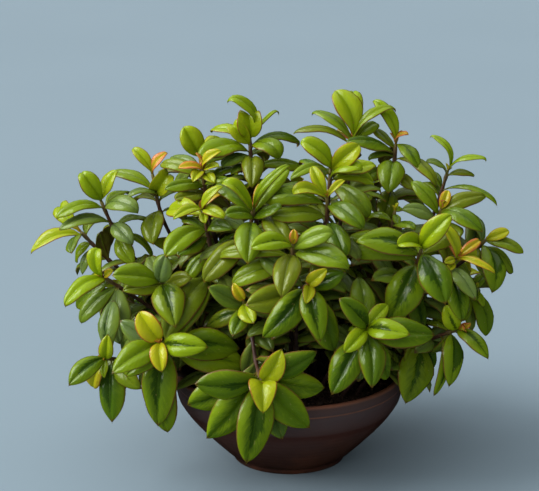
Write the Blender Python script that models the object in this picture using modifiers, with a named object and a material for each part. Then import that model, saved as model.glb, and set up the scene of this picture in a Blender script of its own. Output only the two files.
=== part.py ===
"""A goldfish plant in a shallow glazed bowl: the bowl, its potting mix, and leafy stems standing in it.

The origin is the middle of the bowl's foot, +Z is up, and the picture that the plant was read from
looks along +Y. Everything is in metres. Each leafy stem is one solid with the leaves that grow on it.
"""

import math
from itertools import product

import bmesh
import bpy
import numpy as np
from mathutils import Vector
from mathutils.bvhtree import BVHTree

# The bowl, turned about the Z axis: its outside and its hollow as (radius, distance below the rim)
RIM_RADIUS = 0.075
POT_HEIGHT = 0.060
OUTSIDE = ((0.0738, 0.0), (0.0750, 0.0012), (0.0752, 0.0062), (0.0743, 0.0074), (0.0750, 0.0090),
           (0.0738, 0.0160), (0.0694, 0.0240), (0.0632, 0.0320), (0.0558, 0.0400), (0.0479, 0.0480),
           (0.0398, 0.0555), (0.0380, 0.0566), (0.0366, 0.0600), (0.0, 0.0600))
HOLLOW = ((0.0722, 0.0), (0.0708, 0.0015), (0.0701, 0.0100), (0.0680, 0.0170), (0.0628, 0.0250),
          (0.0558, 0.0330), (0.0470, 0.0410), (0.0350, 0.0490), (0.0280, 0.0515), (0.0, 0.0520))
POT_SIDES = 32

# The potting mix, with a hole for every stem
SOIL_BELOW_RIM = 0.011
SOIL_MOUND = 0.005
HOLE_DEPTH = 0.012
HOLE_ROOM = 0.0009
FIT_GAP = 0.0003

# Stems and leaves
STEM_BASE_RADIUS = 0.0017
STEM_TIP_RADIUS = 0.0011
STEM_POINTS = 7
ROOT_SUNK = 0.0016
LEAF_WIDTH_RATIO = 0.47
LEAF_THICKNESS = 0.0015
LEAF_ARCH = 0.20
LEAF_CROWN = 0.10
PETIOLE_HALF_DEPTH = 0.0008
CLEARANCE = 0.0004
# where along its length, of 1, a leaf has its two rings of points
LEAF_STATIONS = (0.31, 0.66)
# how far the leaves on the viewer's side turn their faces to the viewer, against the stem's own direction
FACE_VIEWER = 0.45
# a stem's foot in the soil: its distance from the axis against the tip's, the most it is, and the last
# that is tried, then how far apart the places are that are tried and the turn from one to the next
FOOT_SHARE = 0.36
FOOT_REACH = 0.050
FOOT_LIMIT = 0.055
FOOT_STEP = 0.0032
GOLDEN_TURN = 2.4
# a stem's curve: how far it sets off outward and upward, as shares of its foot's place and of its rise,
# and how long it runs along its lean at the tip and along its turn where it goes by way of a place
SETS_OUT = 0.3
SETS_UP = 0.55
LEAST_RISE = 0.05
LEAN_PULL = 0.8
TURN_PULL = 0.35
# the positions that are tried for a leaf that would cross another: its length and its arch against the
# first, and its turns in radians, up or down from the stem and round it
SHORTER = (1.0, 0.86, 0.72)
ARCHES = (1.0, 0.6, 0.25)
LIFTS = (0.0, 0.14, -0.14, 0.28, -0.28, 0.45)
SMALL_SWINGS = (0.0, 0.1, -0.1, 0.22, -0.22, 0.38, -0.38)
WIDE_SWINGS = (0.0, 0.3, -0.3, 0.6, -0.6, 0.9, -0.9)

# How the picture was taken, so that a place can be given as it looks: across and down in its pixels,
# and millimetres nearer to the viewer than the middle of the rim
FOCAL_PX = 2100.0
MIDDLE_PX = (269.5, 245.5)
RIM_PX = (289.2, 369.0)
RIM_RADIUS_PX = 113.0
PITCH = math.radians(16.1)

GROWTH_SEED = 7


def stem(tip, near, lean, leaves, reach=0.5, via=None):
    """One leafy stem: its tip and how near it is, the way the tip leans (right, up, nearer), and its leaves.

    A leaf is its tip's place in the picture, its length in mm (below zero where it points away from
    the viewer), how many mm down the stem it grows, how young it is, from 0 to 1, and, where it
    isn't the usual shape, how wide it is against the usual.
    """
    return {"tip": tip, "near": near, "lean": lean, "leaves": leaves, "reach": reach, "via": via}


STEMS = {
    "stem_far_left": stem((80, 231), -18, (-0.6, 0.7, 0.1), [
        (30, 254, 38, 5, 0.55, 0.75), (71, 253, 26, 3, 0.1), (62, 207, -27, 1, 0.5),
        (101, 219, -26, 6, 0.2), (77, 262, -20, 12, 0.3), (82, 275, 20, 17, 0.05)]),
    "stem_left_top": stem((100, 199), 6, (-0.3, 0.9, 0.15), [
        (83, 173, 24, 0, 0.45, 1.15), (108, 171, 24, 1, 0.55, 1.15), (136, 210, 32, 9, 0.1),
        (57, 218, 34, 8, 0.2), (130, 195, -26, 7, 0.2), (58, 230, 38, 19, 0.1), (132, 243, 28, 20, 0.0),
        (148, 222, -30, 22, 0.1), (152, 257, 26, 27, 0.15), (134, 265, 28, 28, 0.05)]),
    "stem_left_orange": stem((152, 172), 4, (-0.1, 1.0, 0.1), [
        (133, 149, 20, 0, 0.9, 0.85), (167, 153, 18, 1, 1.0, 0.85), (169, 172, 24, 14, 0.5, 1.2),
        (109, 174, -36, 15, 0.4), (129, 195, 28, 20, 0.1), (181, 190, -26, 21, 0.0),
        (153, 245, 34, 27, 0.1), (134, 203, -26, 21, 0.05, 0.75), (187, 222, -28, 28, 0.0)]),
    "stem_upper_left": stem((200, 155), -8, (0.0, 1.0, 0.0), [
        (184, 127, 26, 0, 0.4), (222, 141, -26, 1, 0.5), (228, 160, -28, 9, 0.1), (172, 157, -30, 10, 0.1),
        (181, 186, 24, 11, 0.25)]),
    "stem_red_bud": stem((203, 168), 30, (0.0, 0.9, 0.35), [
        (178, 168, 18, 0, 0.95, 0.8), (221, 151, 20, 0, 0.75, 0.75), (219, 166, 16, 2, 0.5),
        (193, 182, 16, 4, 0.6), (214, 183, 16, 5, 0.5), (161, 165, -34, 9, 0.3), (164, 189, 30, 13, 0.1),
        (175, 199, 32, 19, 0.1), (228, 180, 22, 12, 0.0), (204, 212, 34, 24, 0.0)]),
    "stem_summit_left": stem((250, 136), 12, (0.0, 1.0, 0.1), [
        (228, 100, 32, 0, 0.25), (253, 108, 24, 0, 0.4, 1.15), (277, 110, -28, 1, 0.3, 0.5),
        (230, 121, 24, 6, 0.5), (212, 131, -30, 7, 0.35), (298, 144, -36, 7, 0.05, 0.8),
        (278, 154, 26, 9, 0.1), (199, 157, 38, 12, 0.2), (252, 187, 34, 17, 0.0),
        (231, 173, 24, 21, 0.0), (301, 167, -36, 22, 0.0)]),
    "stem_upper_middle": stem((254, 207), 78, (0.2, 0.8, 0.5), [
        (260, 184, 16, 0, 0.95), (289, 166, 38, 2, 0.3, 0.75), (237, 177, 32, 4, 0.35),
        (219, 184, -34, 8, 0.1), (280, 206, 26, 9, 0.1), (226, 215, 26, 10, 0.1), (248, 262, 42, 13, 0.0),
        (203, 281, 42, 24, 0.0), (212, 222, -32, 19, 0.0), (294, 174, 34, 7, 0.2, 0.65)]),
    "stem_yellow_left": stem((203, 209), 62, (-0.1, 0.9, 0.4), [
        (222, 186, 24, 0, 0.75, 0.7), (169, 211, -32, 5, 0.5), (174, 219, 24, 1, 0.85, 0.7),
        (224, 218, 20, 2, 0.55), (205, 223, 13, 3, 0.8), (165, 257, 40, 17, 0.2), (174, 254, 36, 20, 0.0),
        (233, 230, 24, 17, 0.1), (188, 250, -28, 24, 0.0), (183, 288, 30, 30, 0.05, 0.9),
        (193, 326, 44, 38, 0.0, 0.75)]),
    "stem_middle": stem((293, 243), 98, (0.0, 0.8, 0.6), [
        (294, 229, 11, 0, 0.95), (252, 248, 32, 5, 0.25), (331, 233, 30, 6, 0.2), (347, 266, 40, 9, 0.1),
        (282, 295, 40, 11, 0.1), (267, 217, -34, 9, 0.1), (226, 246, -46, 12, 0.15, 0.6),
        (231, 284, 38, 21, 0.1)]),
    "stem_middle_low": stem((309, 284), 104, (0.3, 0.1, 0.95), [
        (327, 269, 18, 0, 0.7), (306, 303, 16, 0, 0.65), (321, 342, 38, 6, 0.15), (343, 272, 28, 8, 0.0),
        (262, 338, 42, 8, 0.05), (256, 315, 42, 15, 0.05), (335, 352, -36, 12, 0.0)], 0.4),
    "stem_heart": stem((243, 300), 84, (-0.2, 0.5, 0.85), [
        (238, 281, 14, 0, 0.85), (254, 324, 24, 5, 0.45), (210, 281, 30, 8, 0.1), (232, 337, 30, 10, 0.05),
        (205, 328, -32, 15, 0.0, 0.8)]),
    "stem_left_high": stem((102, 276), 34, (-0.7, 0.5, 0.5), [
        (97, 250, 20, 1, 0.45), (91, 272, -12, 1, 0.8), (113, 270, 11, 0, 0.8), (65, 306, 36, 5, 0.3),
        (75, 308, -34, 8, 0.1), (79, 322, 30, 14, 0.15), (120, 345, 40, 14, 0.0, 1.15)]),
    "stem_left_middle": stem((161, 280), 62, (0.0, 0.5, 0.85), [
        (166, 254, 26, 3, 0.0), (112, 275, 36, 2, 0.15), (123, 290, 30, 7, 0.1),
        (176, 329, 40, 5, 0.0, 1.1), (184, 288, 26, 8, 0.0)]),
    "stem_left_gold": stem((160, 341), 76, (-0.1, 0.35, 0.95), [
        (139, 311, 24, 0, 0.8), (162, 373, 23, 0, 0.9, 0.8), (208, 347, 34, 6, 0.25),
        (241, 349, 42, 13, 0.1), (111, 374, 42, 6, 0.2), (125, 377, 34, 13, 0.15),
        (119, 320, -30, 12, 0.0), (158, 428, 50, 9, 0.1), (167, 434, 46, 19, 0.05),
        (246, 366, 48, 21, 0.05)]),
    "stem_low_left": stem((104, 358), 56, (-0.5, 0.1, 0.85), [
        (108, 334, 20, 0, 0.6), (68, 386, 34, 3, 0.1), (102, 377, 14, 0, 0.3), (94, 387, -22, 3, 0.8),
        (112, 424, 42, 7, 0.0), (141, 389, 32, 10, 0.0)]),
    "stem_front": stem((262, 382), 100, (0.05, 0.35, 0.95), [
        (246, 465, 55, 7, 0.05), (311, 429, 44, 6, 0.1), (193, 384, 44, 6, 0.1),
        (263, 414, 25, 1, 0.6, 1.1), (282, 348, 26, 0, 0.6, 0.9), (317, 352, 40, 10, 0.0),
        (326, 388, 40, 14, 0.0), (206, 440, 46, 13, 0.0), (186, 406, 46, 13, 0.0), (283, 441, 38, 14, 0.0)],
        0.6, (251, 331, 68)),
    "stem_right_front": stem((367, 328), 96, (0.15, 0.45, 0.9), [
        (339, 298, 32, 2, 0.1), (345, 352, 24, 0, 0.35), (411, 335, 34, 1, 0.25), (372, 389, 40, 7, 0.05),
        (331, 396, 46, 9, 0.0), (436, 335, 44, 8, 0.1), (387, 380, -34, 13, 0.0), (350, 330, -20, 9, 0.0)]),
    "stem_summit_right": stem((353, 136), 8, (0.05, 1.0, 0.05), [
        (336, 92, 31, 0, 0.45, 1.25), (357, 88, -33, 1, 0.35, 0.8), (313, 113, -34, 5, 0.15, 0.75),
        (293, 133, 40, 8, 0.1, 0.6), (394, 109, 36, 5, 0.2, 0.65), (344, 126, -14, 3, 1.0),
        (377, 124, -24, 6, 0.2), (345, 158, 26, 15, 0.1)]),
    "stem_top_right": stem((396, 142), 2, (0.0, 1.0, 0.1), [
        (374, 101, 32, 1, 0.3, 0.75), (409, 132, 14, 1, 1.0), (373, 128, -22, 5, 0.1),
        (418, 168, 26, 2, 0.05, 1.1), (338, 140, 40, 9, 0.0, 0.75), (388, 194, 36, 17, 0.0, 1.15),
        (436, 184, 36, 12, 0.0, 0.8), (369, 159, 19, 11, 0.1), (382, 222, 28, 32, 0.1, 1.15)]),
    "stem_olive": stem((331, 168), 48, (0.05, 0.95, 0.3), [
        (302, 142, 28, 0, 0.35), (358, 146, 26, 0, 0.7), (320, 151, 12, 1, 0.9), (361, 169, 26, 8, 0.3, 1.15),
        (375, 164, -30, 4, 0.4), (374, 185, -32, 9, 0.35), (368, 215, 38, 13, 0.1),
        (291, 180, 30, 6, 0.2, 0.8), (301, 163, -30, 10, 0.05, 0.6)]),
    "stem_fan": stem((327, 196), 74, (-0.05, 0.9, 0.4), [
        (312, 166, 22, 0, 0.65), (304, 177, 26, 1, 0.5), (344, 181, 15, 1, 0.65, 0.7),
        (265, 200, 38, 8, 0.05), (362, 227, 34, 8, 0.1), (272, 217, 38, 15, 0.05), (345, 257, 36, 20, 0.0)]),
    "stem_right_tall": stem((448, 170), -12, (0.2, 0.95, 0.0), [
        (430, 137, 26, 0, 0.25, 0.7), (486, 160, 30, 0, 0.25, 0.7), (427, 162, 19, 4, 0.05, 1.2),
        (474, 176, -20, 5, 0.1), (498, 203, 42, 15, 0.0, 0.65), (424, 172, -24, 15, 0.0),
        (391, 201, -30, 26, 0.0, 0.55)]),
    "stem_right_upper": stem((441, 208), 30, (0.1, 0.85, 0.45), [
        (448, 190, 13, 0, 0.85), (485, 197, -32, 5, 0.05, 0.75), (483, 232, 38, 7, 0.1),
        (460, 235, 34, 10, 0.0), (412, 182, 26, 7, 0.1), (403, 209, 28, 13, 0.0)]),
    "stem_far_right": stem((487, 239), 22, (0.55, 0.6, 0.5), [
        (509, 231, 17, 0, 0.7), (524, 253, 28, 3, 0.1), (493, 292, 40, 6, 0.0), (513, 273, -32, 8, 0.0),
        (470, 262, 28, 10, 0.0)]),
    "stem_pink": stem((457, 257), 64, (0.3, 0.6, 0.7), [
        (443, 226, 26, 3, 0.6, 0.65), (479, 241, 18, 0, 1.0), (452, 244, -12, 1, 1.0),
        (495, 272, 30, 2, 0.8, 0.6), (476, 258, -20, 4, 0.65), (446, 261, 11, 2, 0.65),
        (450, 269, 11, 4, 0.65), (476, 300, 34, 13, 0.0), (462, 322, 38, 17, 0.0),
        (478, 298, -36, 20, 0.05)]),
    "stem_glossy": stem((422, 248), 80, (0.05, 0.6, 0.75), [
        (450, 216, 36, 1, 0.3, 0.85), (403, 243, 22, 2, 0.35), (450, 231, -34, 9, 0.05),
        (446, 305, 42, 6, 0.1), (358, 241, 44, 8, 0.05), (342, 249, 48, 14, 0.0), (389, 322, 42, 15, 0.0)]),
    "stem_right_low": stem((459, 329), 60, (0.6, 0.25, 0.7), [
        (466, 321, 7, 0, 1.0), (446, 306, 20, 2, 0.4), (489, 359, 32, 3, 0.1), (449, 388, 38, 8, 0.0),
        (434, 397, 42, 16, 0.0), (424, 325, -26, 9, 0.0)]),
    "stem_rim_right": stem((424, 341), 52, (0.4, 0.0, 0.9), [
        (405, 405, 42, 4, 0.0), (434, 366, -26, 6, 0.0), (404, 362, 20, 8, 0.0)]),
    "stem_right_behind": stem((472, 288), 2, (0.5, 0.3, 0.5), [
        (487, 336, 32, 3, 0.15), (463, 322, 26, 5, 0.1), (485, 307, 16, 0, 0.3), (478, 299, 20, 1, 0.1)]),
    "stem_inner_right": stem((395, 210), 40, (0.0, 0.9, 0.4), [
        (401, 205, -11, 1, 0.2), (398, 225, 13, 4, 0.0), (367, 218, -22, 9, 0.0, 0.7),
        (414, 228, 28, 13, 0.0)]),
}

# What the picture hides: more stems behind and inside, by rule. Bearings are from the right, anticlockwise.
HIDDEN_RINGS = [
    {"name": "stem_behind_low", "count": 6, "bearings": (26, 154), "radius": 0.128, "height": 0.098},
    {"name": "stem_behind_middle", "count": 5, "bearings": (26, 152), "radius": 0.088, "height": 0.134},
    {"name": "stem_behind_high", "count": 3, "bearings": (35, 150), "radius": 0.050, "height": 0.160},
]
# how far a hidden stem's tip moves with its foot
HIDDEN_TIP_SHIFT = 1.2
# its pairs of leaves: mm below the tip, mm long, how young, and how far open from the stem, in radians
HIDDEN_PAIRS = [(2, 22, 0.6, 0.55), (9, 33, 0.2, 0.8), (21, 40, 0.05, 1.05), (37, 42, 0.0, 1.25)]


def unit(v):
    return v / max(np.linalg.norm(v), 1e-9)


def view_axes():
    """The picture's directions in the frame: right, up and forward."""
    right = np.array([1.0, 0.0, 0.0])
    up = np.array([0.0, math.sin(PITCH), math.cos(PITCH)])
    forward = np.array([0.0, math.cos(PITCH), -math.sin(PITCH)])
    return right, up, forward


def rim_distance():
    return RIM_RADIUS * FOCAL_PX / RIM_RADIUS_PX


def eye():
    """Where the viewer stands: the middle of the rim is seen at RIM_PX, at rim_distance."""
    right, up, forward = view_axes()
    d = rim_distance()
    rim = np.array([0.0, 0.0, POT_HEIGHT])
    across = (RIM_PX[0] - MIDDLE_PX[0]) / FOCAL_PX * d
    above = (MIDDLE_PX[1] - RIM_PX[1]) / FOCAL_PX * d
    return rim - right * across - up * above - forward * d


def place(px, near):
    """The point seen at a pixel of the picture, near metres nearer than the middle of the rim."""
    right, up, forward = view_axes()
    depth = rim_distance() - near
    across = (px[0] - MIDDLE_PX[0]) / FOCAL_PX
    above = (MIDDLE_PX[1] - px[1]) / FOCAL_PX
    return eye() + depth * (right * across + up * above + forward)


def nearness(point):
    """How much nearer to the viewer than the middle of the rim a point is."""
    return rim_distance() - (point - eye()) @ view_axes()[2]


def risen(profile):
    """A profile's points as (radius, height above the ground)."""
    return [(r, POT_HEIGHT - below) for r, below in profile]


def bowl_radius_inside(z):
    """How wide the hollow is at a height."""
    return float(np.interp(POT_HEIGHT - z, [below for r, below in HOLLOW], [r for r, below in HOLLOW]))


def soil_top(r):
    """The potting mix's height at a distance from the axis: a low mound."""
    return POT_HEIGHT - SOIL_BELOW_RIM + SOIL_MOUND * math.cos(min(r / RIM_RADIUS, 1) * math.pi / 2)


def cubic(a, b, c, d):
    t = np.linspace(0, 1, 61)[:, None]
    return (1 - t) ** 3 * a + 3 * t * (1 - t) ** 2 * b + 3 * t * t * (1 - t) * c + t ** 3 * d


def stem_path(root, tip, lean, reach, via=None):
    """A curve up out of the soil at the root and into the tip the way it leans, by way of via if given."""
    ahead = tip if via is None else via
    span = np.linalg.norm(ahead - root)
    rise = np.array([*(root[:2] * SETS_OUT), max(ahead[2] - root[2], LEAST_RISE) * SETS_UP])
    if via is None:
        return cubic(root, root + rise, tip - lean * span * reach * LEAN_PULL, tip)
    left = np.linalg.norm(tip - via)
    over = unit(unit(tip - via) + unit((via - root) * [1, 1, 0.2])) * left * TURN_PULL
    second = cubic(via, via + over, tip - lean * left * reach * LEAN_PULL, tip)
    return np.concatenate([cubic(root, root + rise, via - over * 1.5, via), second[1:]])


def lengths_along(path):
    return np.concatenate([[0], np.cumsum(np.linalg.norm(np.diff(path, axis=0), axis=1))])


def at_below_tip(path, down):
    """The point and the upward direction of a path at a distance below its tip."""
    along = lengths_along(path)
    at = np.clip(along[-1] - down, 0.0, along[-1] - ROOT_SUNK)
    here = np.array([np.interp(at, along, path[:, k]) for k in range(3)])
    ahead = np.array([np.interp(min(at + 0.003, along[-1]), along, path[:, k]) for k in range(3)])
    behind = np.array([np.interp(max(at - 0.003, 0), along, path[:, k]) for k in range(3)])
    return here, unit(ahead - behind)


def stem_rings(path):
    """Evenly spaced points of a path, each with its radius."""
    along = lengths_along(path)
    at = np.linspace(0, along[-1], STEM_POINTS)
    line = np.stack([np.interp(at, along, path[:, k]) for k in range(3)], axis=1)
    return line, np.linspace(STEM_BASE_RADIUS, STEM_TIP_RADIUS, STEM_POINTS)


def tube_faces(line, radii, sides=6):
    """A closed tube round a line, for the tests of what crosses what."""
    verts, faces = [], []
    for i, p in enumerate(line):
        way = unit(line[min(i + 1, len(line) - 1)] - line[max(i - 1, 0)])
        side = unit(np.cross(way, [0.3, 0.9, 0.1]))
        other = np.cross(way, side)
        for k in range(sides):
            a = 2 * math.pi * k / sides
            verts.append(p + radii[i] * (math.cos(a) * side + math.sin(a) * other))
    for i in range(len(line) - 1):
        for k in range(sides):
            n = (k + 1) % sides
            faces.append((i * sides + k, i * sides + n, (i + 1) * sides + n, (i + 1) * sides + k))
    return verts, faces


def leaf_outline(t):
    """A leaf's half width along it, as a share of its widest: rounded at the foot, drawn out at the tip."""
    s = np.clip((np.asarray(t, float) - 0.06) / 0.94, 0, 1)
    return s ** 0.6 * (1 - s) ** 0.72 / 0.4027


def leaf_frame(leaf, t):
    """Points along a leaf's middle, with the directions along, across and up from its face at each."""
    base, tip, up = leaf["base"], leaf["tip"], leaf["up"]
    chord = tip - base
    length = np.linalg.norm(chord)
    along = chord / length
    t = np.asarray(t, float)
    rise = leaf["arch"] * length * np.sin(math.pi * t ** 0.85)
    middle = base + t[:, None] * chord + rise[:, None] * up
    slope = leaf["arch"] * math.pi * 0.85 * np.maximum(t, 0.02) ** -0.15 * np.cos(math.pi * t ** 0.85)
    forward = along + slope[:, None] * up
    forward /= np.linalg.norm(forward, axis=1)[:, None]
    across = np.cross(along, up)
    normal = np.cross(across, forward)
    return middle, forward, np.tile(across, (len(t), 1)), normal


def leaf_solid(leaf, grow=0.0):
    """A leaf from an upright edge in the stem, by two rings of edge, top, edge and underside, to its tip."""
    middle, forward, across, normal = leaf_frame(leaf, np.array((0.0,) + LEAF_STATIONS + (1.0,)))
    root = PETIOLE_HALF_DEPTH + grow
    verts = [middle[0] + root * normal[0], middle[0] - root * normal[0]]
    thick = LEAF_THICKNESS / 2 + grow
    for i, t in enumerate(LEAF_STATIONS, 1):
        half = leaf["width"] / 2 * leaf_outline(t) + grow
        low = middle[i] - LEAF_CROWN * leaf["width"] * normal[i]
        verts += [low - half * across[i], middle[i] + thick * normal[i],
                  low + half * across[i], middle[i] - thick * normal[i]]
    verts.append(middle[-1])
    faces = [(0, 2, 3), (0, 3, 4), (0, 4, 1), (1, 4, 5), (1, 5, 2), (1, 2, 0)]
    for edge, ridge in ((2, 3), (4, 3), (4, 5), (2, 5)):
        faces += [(edge, edge + 4, ridge + 4), (edge, ridge + 4, ridge), (edge + 4, 10, ridge + 4)]
    return verts, faces


def leaf_shapes(leaf):
    """A leaf with its clearance, whole and without its foot, for the crossing tests."""
    verts, faces = leaf_solid(leaf, CLEARANCE / 2)
    rings = np.array(verts)
    outer = rings.copy()
    outer[:2] += (rings[[3, 5]] - rings[:2]) * 0.4
    return shape_of(verts, faces), shape_of(outer, faces)


def shape_of(verts, faces):
    """A mesh made ready for the crossing tests: its box's two corners and its tree."""
    points = np.array(verts)
    return points.min(0), points.max(0), BVHTree.FromPolygons([Vector(v) for v in points], faces)


class Crowd:
    """What has been placed so far, to test what would cross it."""

    def __init__(self):
        self.items = []

    def add(self, owner, whole, outer=None):
        """Outer leaves out the foot, where a leaf is meant to run into its own stem."""
        self.items.append((owner, whole, outer or whole))

    def crossed(self, owner, whole, outer=None, ignored=()):
        """Whether a shape crosses anything, with only its outer part tested against its own owner's."""
        for other, item_whole, item_outer in self.items:
            if other in ignored:
                continue
            mine, its = (outer or whole, item_outer) if other == owner else (whole, item_whole)
            if (mine[0] > its[1]).any() or (mine[1] < its[0]).any():
                continue
            if mine[2].overlap(its[2]):
                return True
        return False


def turned(profile, sides):
    """A profile of (radius, height) turned about Z, for the tests."""
    verts, faces = [], []
    for r, z in profile:
        for k in range(sides):
            a = 2 * math.pi * k / sides
            verts.append(np.array([r * math.cos(a), r * math.sin(a), z]))
    for i in range(len(profile) - 1):
        for k in range(sides):
            n = (k + 1) % sides
            faces.append((i * sides + k, i * sides + n, (i + 1) * sides + n, (i + 1) * sides + k))
    return verts, faces


def make_leaf(base, way, tip, young, facing, wide=1.0):
    """A leaf from the stem to its tip. Its upper face is on the side of the stem's tip, turned to facing."""
    chord = tip - base
    length = np.linalg.norm(chord)
    along = chord / length
    up = way + facing
    up = up - (up @ along) * along
    if np.linalg.norm(up) < 0.2:
        up = up + np.cross(np.cross(along, [0.0, 0.0, 1.0]), along)
    return {"base": base, "tip": tip, "up": unit(up), "arch": LEAF_ARCH, "young": young,
            "width": length * LEAF_WIDTH_RATIO * wide}


def swung(point, pivot, axis, angle):
    """A point turned about an axis through a pivot."""
    v = point - pivot
    kept = axis * (axis @ v)
    return pivot + kept + (v - kept) * math.cos(angle) + np.cross(axis, v) * math.sin(angle)


def settle(crowd, plant, base, way, tip, young, facing, swings, wide=1.0):
    """Adds a leaf in the first of its near positions that crosses nothing, or none where all of them do."""
    side = unit(np.cross(way, tip - base))
    for shorter, lift, swing, arch in product(SHORTER, LIFTS, swings, ARCHES):
        aim = swung(swung(tip, base, side, lift), base, way, swing)
        leaf = make_leaf(base, way, base + (aim - base) * shorter, young, facing, wide)
        leaf["arch"] *= arch
        whole, outer = leaf_shapes(leaf)
        if not crowd.crossed(plant["name"], whole, outer):
            crowd.add(plant["name"], whole, outer)
            plant["leaves"].append(leaf)
            return


def lay_out():
    """Every stem's line and leaves. The leaves that the picture shows come first, the rest fit round them."""
    random = np.random.default_rng(GROWTH_SEED)
    crowd = Crowd()
    crowd.add("pot", shape_of(*turned(risen(OUTSIDE), POT_SIDES)))
    crowd.add("pot", shape_of(*turned(risen(HOLLOW), POT_SIDES)))
    mound = [(r, soil_top(r) + CLEARANCE) for r in (0.001, 0.035, 0.066)]
    crowd.add("soil", shape_of(*turned(mound, POT_SIDES)))
    right, up, forward = view_axes()
    plants = {}
    for name, row in STEMS.items():
        lean = right * row["lean"][0] + up * row["lean"][1] - forward * row["lean"][2]
        via = row["via"] and place(row["via"][:2], row["via"][2] / 1000)
        plants[name] = {"tip": place(row["tip"], row["near"] / 1000), "lean": unit(lean),
                        "reach": row["reach"], "via": via}
    for ring in HIDDEN_RINGS:
        for i in range(ring["count"]):
            share = i / (ring["count"] - 1)
            bearing = math.radians(np.interp(share, (0, 1), ring["bearings"]))
            out = np.array([math.cos(bearing), math.sin(bearing), 0.0])
            tip = out * ring["radius"] * random.uniform(0.92, 1.08)
            tip[2] = ring["height"] * random.uniform(0.92, 1.08)
            plants[f"{ring['name']}_{i + 1}"] = {"tip": tip, "lean": unit(out * 0.6 + np.array([0, 0, 0.7])),
                                                  "reach": 0.45, "via": None}
    for name, plant in plants.items():
        plant.update(name=name, leaves=[])
        stand(crowd, plant)
    for name, row in STEMS.items():
        plant = plants[name]
        for px, py, length, down, young, *wide in row["leaves"]:
            base, way = at_below_tip(plant["line"], down / 1000)
            near = nearness(base)
            flat = place((px, py), near)
            spare = (length / 1000) ** 2 - ((flat - base) @ (flat - base))
            tip = place((px, py), near + math.copysign(math.sqrt(max(spare, 0.0)), length))
            settle(crowd, plant, base, way, tip, young, -forward * FACE_VIEWER * (1 + young),
                   SMALL_SWINGS, *wide)
    for name, plant in plants.items():
        if name not in STEMS:
            add_pairs(crowd, plant, random)
    return plants


def stand(crowd, plant):
    """A stem's line, from a place in the soil from which it meets no other stem."""
    nominal = (plant["tip"] if plant["via"] is None else plant["via"])[:2] * FOOT_SHARE
    nominal *= min(1.0, FOOT_REACH / max(np.linalg.norm(nominal), 1e-6))
    for step in range(60):
        angle = GOLDEN_TURN * step
        aside = FOOT_STEP * math.sqrt(step) * np.array([math.cos(angle), math.sin(angle)])
        if np.linalg.norm(nominal + aside) > FOOT_LIMIT:
            continue
        root = np.array([*(nominal + aside), soil_top(np.linalg.norm(nominal + aside)) - HOLE_DEPTH])
        tip = plant["tip"] + (0 if plant["name"] in STEMS else np.array([*(aside * HIDDEN_TIP_SHIFT), 0]))
        path = stem_path(root, tip, plant["lean"], plant["reach"], plant["via"])
        plant["line"], plant["radii"] = stem_rings(path)
        tube = shape_of(*tube_faces(plant["line"], plant["radii"] + HOLE_ROOM + CLEARANCE))
        if not crowd.crossed("", tube, ignored=("soil",)):
            crowd.add(plant["name"], shape_of(*tube_faces(plant["line"], plant["radii"] + CLEARANCE / 2)))
            return
    raise ValueError(f"{plant['name']} has no clear way up")


def add_pairs(crowd, plant, random):
    """A hidden stem's leaves: opposite pairs, each a quarter turn from the pair above it."""
    turn = random.uniform(0, math.pi)
    for number, (down, length, young, opened) in enumerate(HIDDEN_PAIRS):
        base, way = at_below_tip(plant["line"], down / 1000)
        side = unit(np.cross(way, [0.2, 0.1, 1.0]))
        other = np.cross(way, side)
        facing = 0.4 * unit(base * [1, 1, 0]) + np.array([0, 0, 0.3])
        for half in (0, math.pi):
            angle = turn + half + number * math.pi / 2 + random.uniform(-0.15, 0.15)
            out = math.cos(angle) * side + math.sin(angle) * other
            aim = unit(math.cos(opened) * way + math.sin(opened) * out + np.array([0, 0, -0.12]))
            tip = base + length / 1000 * random.uniform(0.9, 1.05) * aim
            settle(crowd, plant, base, way, tip, young, facing, WIDE_SWINGS)


def clear_scene():
    for obj in list(bpy.data.objects):
        bpy.data.objects.remove(obj)


def new_collection(name):
    collection = bpy.data.collections.new(name)
    bpy.context.scene.collection.children.link(collection)
    return collection


def new_material(name, colour, roughness):
    material = bpy.data.materials.new(name)
    material.use_nodes = True
    shader = material.node_tree.nodes["Principled BSDF"]
    shader.inputs["Base Color"].default_value = (*colour, 1.0)
    shader.inputs["Roughness"].default_value = roughness
    shader.inputs["Metallic"].default_value = 0.0
    return material


def mesh_object(name, verts, faces, collection):
    mesh = bpy.data.meshes.new(name)
    mesh.from_pydata([tuple(v) for v in verts], [], faces)
    mesh.update()
    obj = bpy.data.objects.new(name, mesh)
    collection.objects.link(obj)
    return obj


def screw(name, profile, sides, collection):
    """A profile of (radius, height) turned about Z."""
    verts = [(r, 0.0, z) for r, z in profile]
    mesh = bpy.data.meshes.new(name)
    mesh.from_pydata(verts, [(i, i + 1) for i in range(len(verts) - 1)], [])
    obj = bpy.data.objects.new(name, mesh)
    collection.objects.link(obj)
    turn = obj.modifiers.new("turn", "SCREW")
    turn.steps = turn.render_steps = sides
    turn.use_merge_vertices = True
    turn.merge_threshold = 0.00005
    turn.use_smooth_shade = True
    return obj


def make_pot(collection):
    # from the inner floor's middle up, over the lip, down the outside to the underside's middle
    pot = screw("pot", risen(HOLLOW)[::-1] + risen(OUTSIDE), POT_SIDES, collection)
    pot.data.materials.append(new_material("pot_glaze", (0.060, 0.030, 0.024), 0.34))
    return pot


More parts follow.
